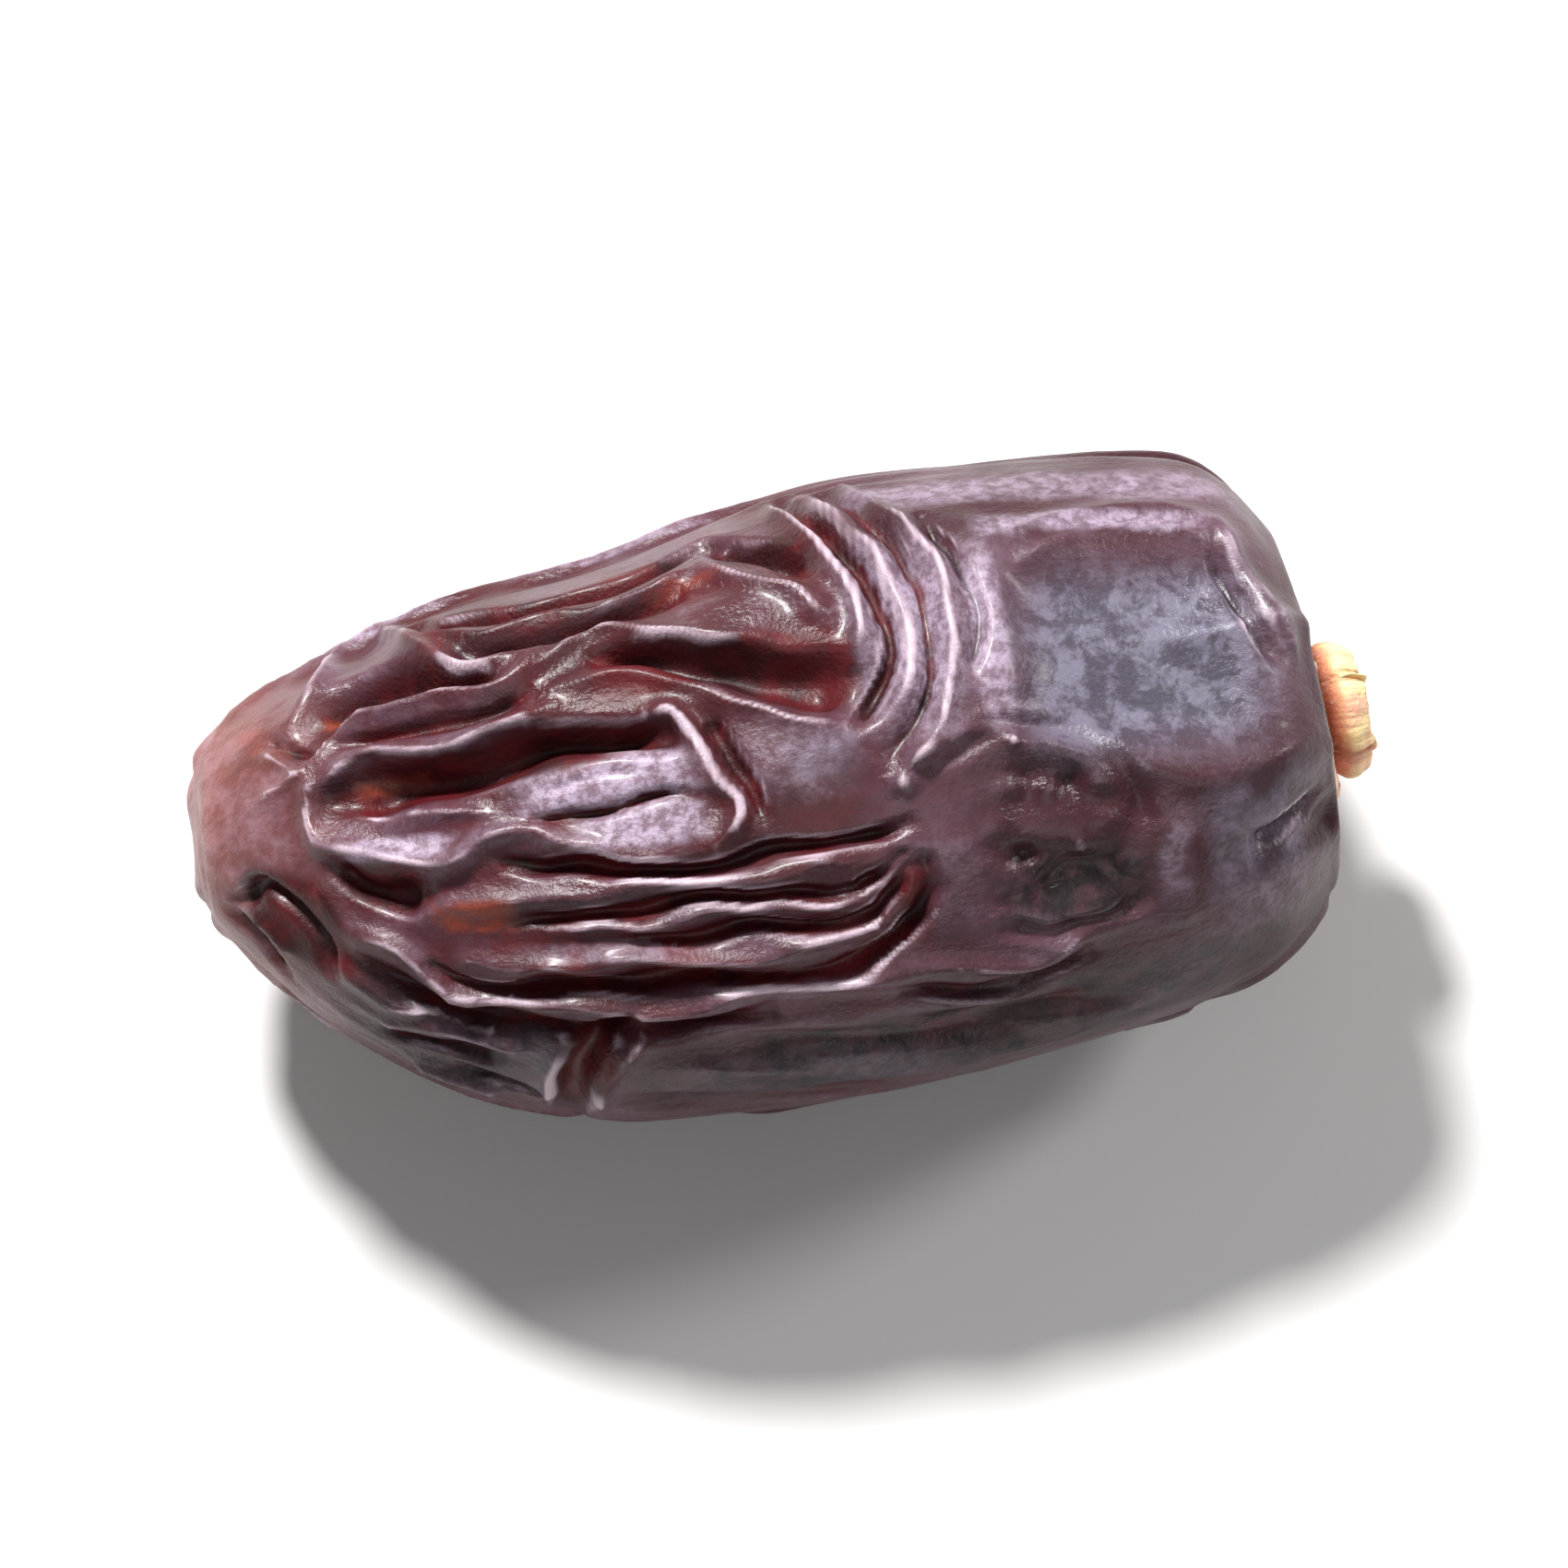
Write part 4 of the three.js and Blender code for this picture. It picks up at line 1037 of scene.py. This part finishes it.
def add(tree, kind, inputs=None, **settings):
    """A new node with its settings, and its inputs linked or set."""
    made = tree.nodes.new(kind)
    for name, value in settings.items():
        setattr(made, name, value)
    for key, value in (inputs or {}).items():
        if isinstance(value, bpy.types.NodeSocket):
            tree.links.new(value, made.inputs[key])
        else:
            made.inputs[key].default_value = value
    return made


def mixed(tree, share, first, second):
    """A colour that goes from the first to the second as share goes from 0 to 1."""
    first, second = ((*c, 1) if isinstance(c, tuple) else c for c in (first, second))
    return add(tree, "ShaderNodeMix", {0: share, 6: first, 7: second}, data_type="RGBA").outputs[2]


def math_node(tree, operation, first, second):
    return add(tree, "ShaderNodeMath", {0: first, 1: second}, operation=operation).outputs[0]


def ramp(tree, value, low, high, first=0.0, last=1.0):
    """A value drawn from low..high to first..last, with soft ends."""
    inputs = {0: value, 1: low, 2: high, 3: first, 4: last}
    return add(tree, "ShaderNodeMapRange", inputs, interpolation_type="SMOOTHSTEP").outputs[0]


def attribute_of(tree, name):
    return add(tree, "ShaderNodeAttribute", attribute_name=name).outputs["Fac"]


def noise(tree, place, size, detail=3.0, roughness=0.55, twist=0.0):
    """Cloudy noise whose blotches measure about this many mm."""
    inputs = {"Vector": place, "Scale": 1 / (size * MM), "Detail": detail,
              "Roughness": roughness, "Distortion": twist}
    return add(tree, "ShaderNodeTexNoise", inputs).outputs[0]


def object_place(tree, stretch=(1, 1, 1)):
    place = add(tree, "ShaderNodeTexCoord").outputs["Object"]
    return add(tree, "ShaderNodeMapping", {"Vector": place, "Scale": stretch}).outputs[0]


def bumped(tree, shader, height, distance):
    """Gives the shader bumps that are this many mm high."""
    inputs = {"Height": height, "Strength": 1.0, "Distance": distance * MM}
    tree.links.new(add(tree, "ShaderNodeBump", inputs).outputs[0], shader.inputs["Normal"])


def patches(tree, name, patchy):
    """How strong a set of patches is, with ragged edges."""
    low, high, full = PATCH_EDGES[name]
    ragged = ramp(tree, patchy, *PATCH_NOISE, low, high)
    return ramp(tree, math_node(tree, "ADD", attribute_of(tree, name), ragged), PATCH_START, full)


def bloom_and_sheen_share(tree, cloud, patchy, speckle):
    """How much lilac-grey lies on the skin, partly real bloom and partly a painted sheen of reflected
    light: most in its patches, and a little on what stands high.
    """
    raised = ramp(tree, attribute_of(tree, "hollow"), *RAISED)
    faint = math_node(tree, "MULTIPLY", ramp(tree, cloud, *FAINT_BLOOM_AND_SHEEN), raised)
    bloom_and_sheen = math_node(tree, "MAXIMUM", patches(tree, "bloom_and_sheen", patchy), faint)
    return math_node(tree, "MULTIPLY", bloom_and_sheen, ramp(tree, speckle, *BLOOM_AND_SHEEN_SPECKS))


def skin_colour(tree, place):
    cloud, patchy = noise(tree, place, *CLOUD), noise(tree, place, *PATCHY)
    speckle, fleck = noise(tree, place, *SPECKLE), noise(tree, place, *FLECK)
    streaks = noise(tree, object_place(tree, STREAK_STRETCH), *STREAKS)
    crease = attribute_of(tree, "crease")
    colour = mixed(tree, ramp(tree, cloud, *SKIN_SPAN), SKIN_DARK, SKIN)
    warm = ramp(tree, attribute_of(tree, "warm"), 0, 1, *WARM_SHARES)
    warm = math_node(tree, "MULTIPLY", warm, ramp(tree, patchy, *WARM_RAGGED))
    colour = mixed(tree, warm, colour, SKIN_WARM)
    # darker skin, and painted shade on the near lower side and below the tip
    umber_and_shade = mixed(tree, ramp(tree, fleck, *UMBER_SPAN), UMBER_DARK_AND_SHADE, UMBER_AND_SHADE)
    colour = mixed(tree, patches(tree, "umber_and_shade", patchy), colour, umber_and_shade)
    tip = mixed(tree, ramp(tree, streaks, *STREAK_SPAN), TIP_WARM, TIP)
    pale = math_node(tree, "MULTIPLY", attribute_of(tree, "pale"), ramp(tree, patchy, *TIP_RAGGED))
    colour = mixed(tree, pale, colour, tip)
    # bloom, with painted sheen and highlights
    colour = mixed(tree, bloom_and_sheen_share(tree, cloud, patchy, speckle), colour, BLOOM_AND_SHEEN)
    # bloom and painted sky reflection in the dent
    slate_bloom_and_sheen = mixed(tree, ramp(tree, fleck, *SLATE_SPAN), SLATE_DARK, SLATE_BLOOM_AND_SHEEN)
    colour = mixed(tree, patches(tree, "slate_bloom_and_sheen", patchy), colour, slate_bloom_and_sheen)
    # painted shade in the creases
    colour = mixed(tree, ramp(tree, crease, *CREASE_SHADE_DEPTHS), colour, CREASE_SHADE)
    # painted highlight along the crests
    colour = mixed(tree, ramp(tree, crease, *CREST_HIGHLIGHT_DEPTHS), colour, CREST_HIGHLIGHT)
    crimson = mixed(tree, ramp(tree, patchy, *CRIMSON_SPAN), CRIMSON_DARK, CRIMSON)
    colour = mixed(tree, patches(tree, "red", patchy), colour, crimson)
    return mixed(tree, patches(tree, "orange", patchy), colour, ORANGE)


def skin_roughness(tree, place):
    rough = ramp(tree, noise(tree, place, *GLOSS_CLOUD), *ROUGH_SPAN, *SKIN_ROUGHNESS)
    for name, rougher in (("bloom_and_sheen", BLOOM_AND_SHEEN_ROUGHER), ("red", RED_ROUGHER)):
        rough = math_node(tree, "ADD", rough, ramp(tree, attribute_of(tree, name), *rougher))
    return rough


def skin_material():
    tree, shader, material = new_material("date_skin")
    place = object_place(tree)
    tree.links.new(skin_colour(tree, place), shader.inputs["Base Color"])
    tree.links.new(skin_roughness(tree, place), shader.inputs["Roughness"])
    wrinkles = noise(tree, object_place(tree, WRINKLE_STRETCH), *WRINKLES)
    wrinkles = math_node(tree, "MULTIPLY", wrinkles, WRINKLE_SHARE)
    grain = noise(tree, place, *GRAIN)
    bumped(tree, shader, math_node(tree, "ADD", wrinkles, grain), BUMP_HEIGHT)
    shader.inputs["Specular IOR Level"].default_value = SKIN_SPECULAR
    shader.inputs["Coat Weight"].default_value = SKIN_COAT
    shader.inputs["Coat Roughness"].default_value = SKIN_COAT_ROUGHNESS
    shader.inputs["Subsurface Weight"].default_value = SKIN_SUBSURFACE
    shader.inputs["Subsurface Radius"].default_value = SKIN_SUBSURFACE_RADIUS
    shader.inputs["Subsurface Scale"].default_value = SKIN_SUBSURFACE_MM * MM
    return material


def cap_colour(tree, patchy, speckle, fibres):
    colour = mixed(tree, ramp(tree, patchy, *CORAL_SPAN), CORAL_DARK, CORAL)
    colour = mixed(tree, ramp(tree, attribute_of(tree, "rim"), *CREAM_RIM), colour, CREAM)
    # painted shade in the neck
    colour = mixed(tree, ramp(tree, attribute_of(tree, "neck_shade"), *NECK_SHADE_SPAN), colour, NECK_SHADE)
    gold = mixed(tree, ramp(tree, patchy, *GOLD_SPAN), GOLD, ROSE)
    colour = mixed(tree, attribute_of(tree, "bell"), colour, gold)
    # painted shade between the fibres
    colour = mixed(tree, ramp(tree, fibres, *FIBRE_SHADE), colour, NECK_SHADE)
    colour = mixed(tree, attribute_of(tree, "scar"), colour, SCAR)
    return mixed(tree, ramp(tree, speckle, *CREAM_SPECKS), colour, CREAM)


def cap_material():
    tree, shader, material = new_material("dry_calyx")
    place = object_place(tree)
    patchy, speckle = noise(tree, place, *CAP_PATCHY), noise(tree, place, *CAP_SPECKLE)
    fibres = attribute_of(tree, "fibre")
    tree.links.new(cap_colour(tree, patchy, speckle, fibres), shader.inputs["Base Color"])
    tree.links.new(ramp(tree, patchy, *CAP_ROUGH), shader.inputs["Roughness"])
    height = math_node(tree, "ADD", speckle, math_node(tree, "MULTIPLY", fibres, CAP_FIBRE_SHARE))
    bumped(tree, shader, height, CAP_BUMP_HEIGHT)
    shader.inputs["Subsurface Weight"].default_value = CAP_SUBSURFACE
    shader.inputs["Subsurface Radius"].default_value = CAP_SUBSURFACE_RADIUS
    shader.inputs["Subsurface Scale"].default_value = CAP_SUBSURFACE_MM * MM
    return material


def floor_material():
    tree, shader, material = new_material("floor")
    shade = noise(tree, object_place(tree), *FLOOR_CLOUD)
    tree.links.new(mixed(tree, shade, FLOOR_LOW, FLOOR_HIGH), shader.inputs["Base Color"])
    shader.inputs["Roughness"].default_value = FLOOR_ROUGHNESS
    return material


def add_light(name, place, target, size, watts):
    data = bpy.data.lights.new(name, "AREA")
    data.shape = "DISK"
    data.size = size
    data.energy = watts
    lamp = bpy.data.objects.new(name, data)
    bpy.context.scene.collection.objects.link(lamp)
    lamp.location = place
    lamp.rotation_euler = (target - Vector(place)).to_track_quat("-Z", "Y").to_euler()


def make_stage(centre):
    bpy.ops.mesh.primitive_plane_add(size=FLOOR_SIZE, location=(0, 0, FLOOR_TOP))
    floor = bpy.context.object
    floor.name = "floor"
    floor.data.materials.append(floor_material())
    world = bpy.data.worlds.new("studio")
    bpy.context.scene.world = world
    world.use_nodes = True
    sky = world.node_tree.nodes["Background"].inputs
    sky["Color"].default_value = SKY_COLOUR
    sky["Strength"].default_value = SKY
    bpy.context.scene.view_settings.view_transform = "Standard"
    for name, place, size, watts in LIGHTS:
        add_light(name, place, centre, size, watts)


def make_camera(centre):
    data = bpy.data.cameras.new("camera")
    data.lens = CAMERA_LENS
    data.sensor_width = CAMERA_SENSOR
    camera = bpy.data.objects.new("camera", data)
    bpy.context.scene.collection.objects.link(camera)
    azimuth, elevation = math.radians(CAMERA_AZIMUTH), math.radians(CAMERA_ELEVATION)
    back = Vector((math.sin(azimuth) * math.cos(elevation),
                   -math.cos(azimuth) * math.cos(elevation),
                   math.sin(elevation)))
    camera.location = centre + back * (FRAME_WIDTH * CAMERA_LENS / CAMERA_SENSOR)
    camera.rotation_euler = (-back).to_track_quat("-Z", "Y").to_euler()
    data.clip_start = CAMERA_NEAREST
    bpy.context.scene.camera = camera


middle = Vector([(low + high) / 2 for low, high in zip(*CAD_BOX)])
make_camera(middle)
make_stage(middle)
make_fruit()
make_cap()
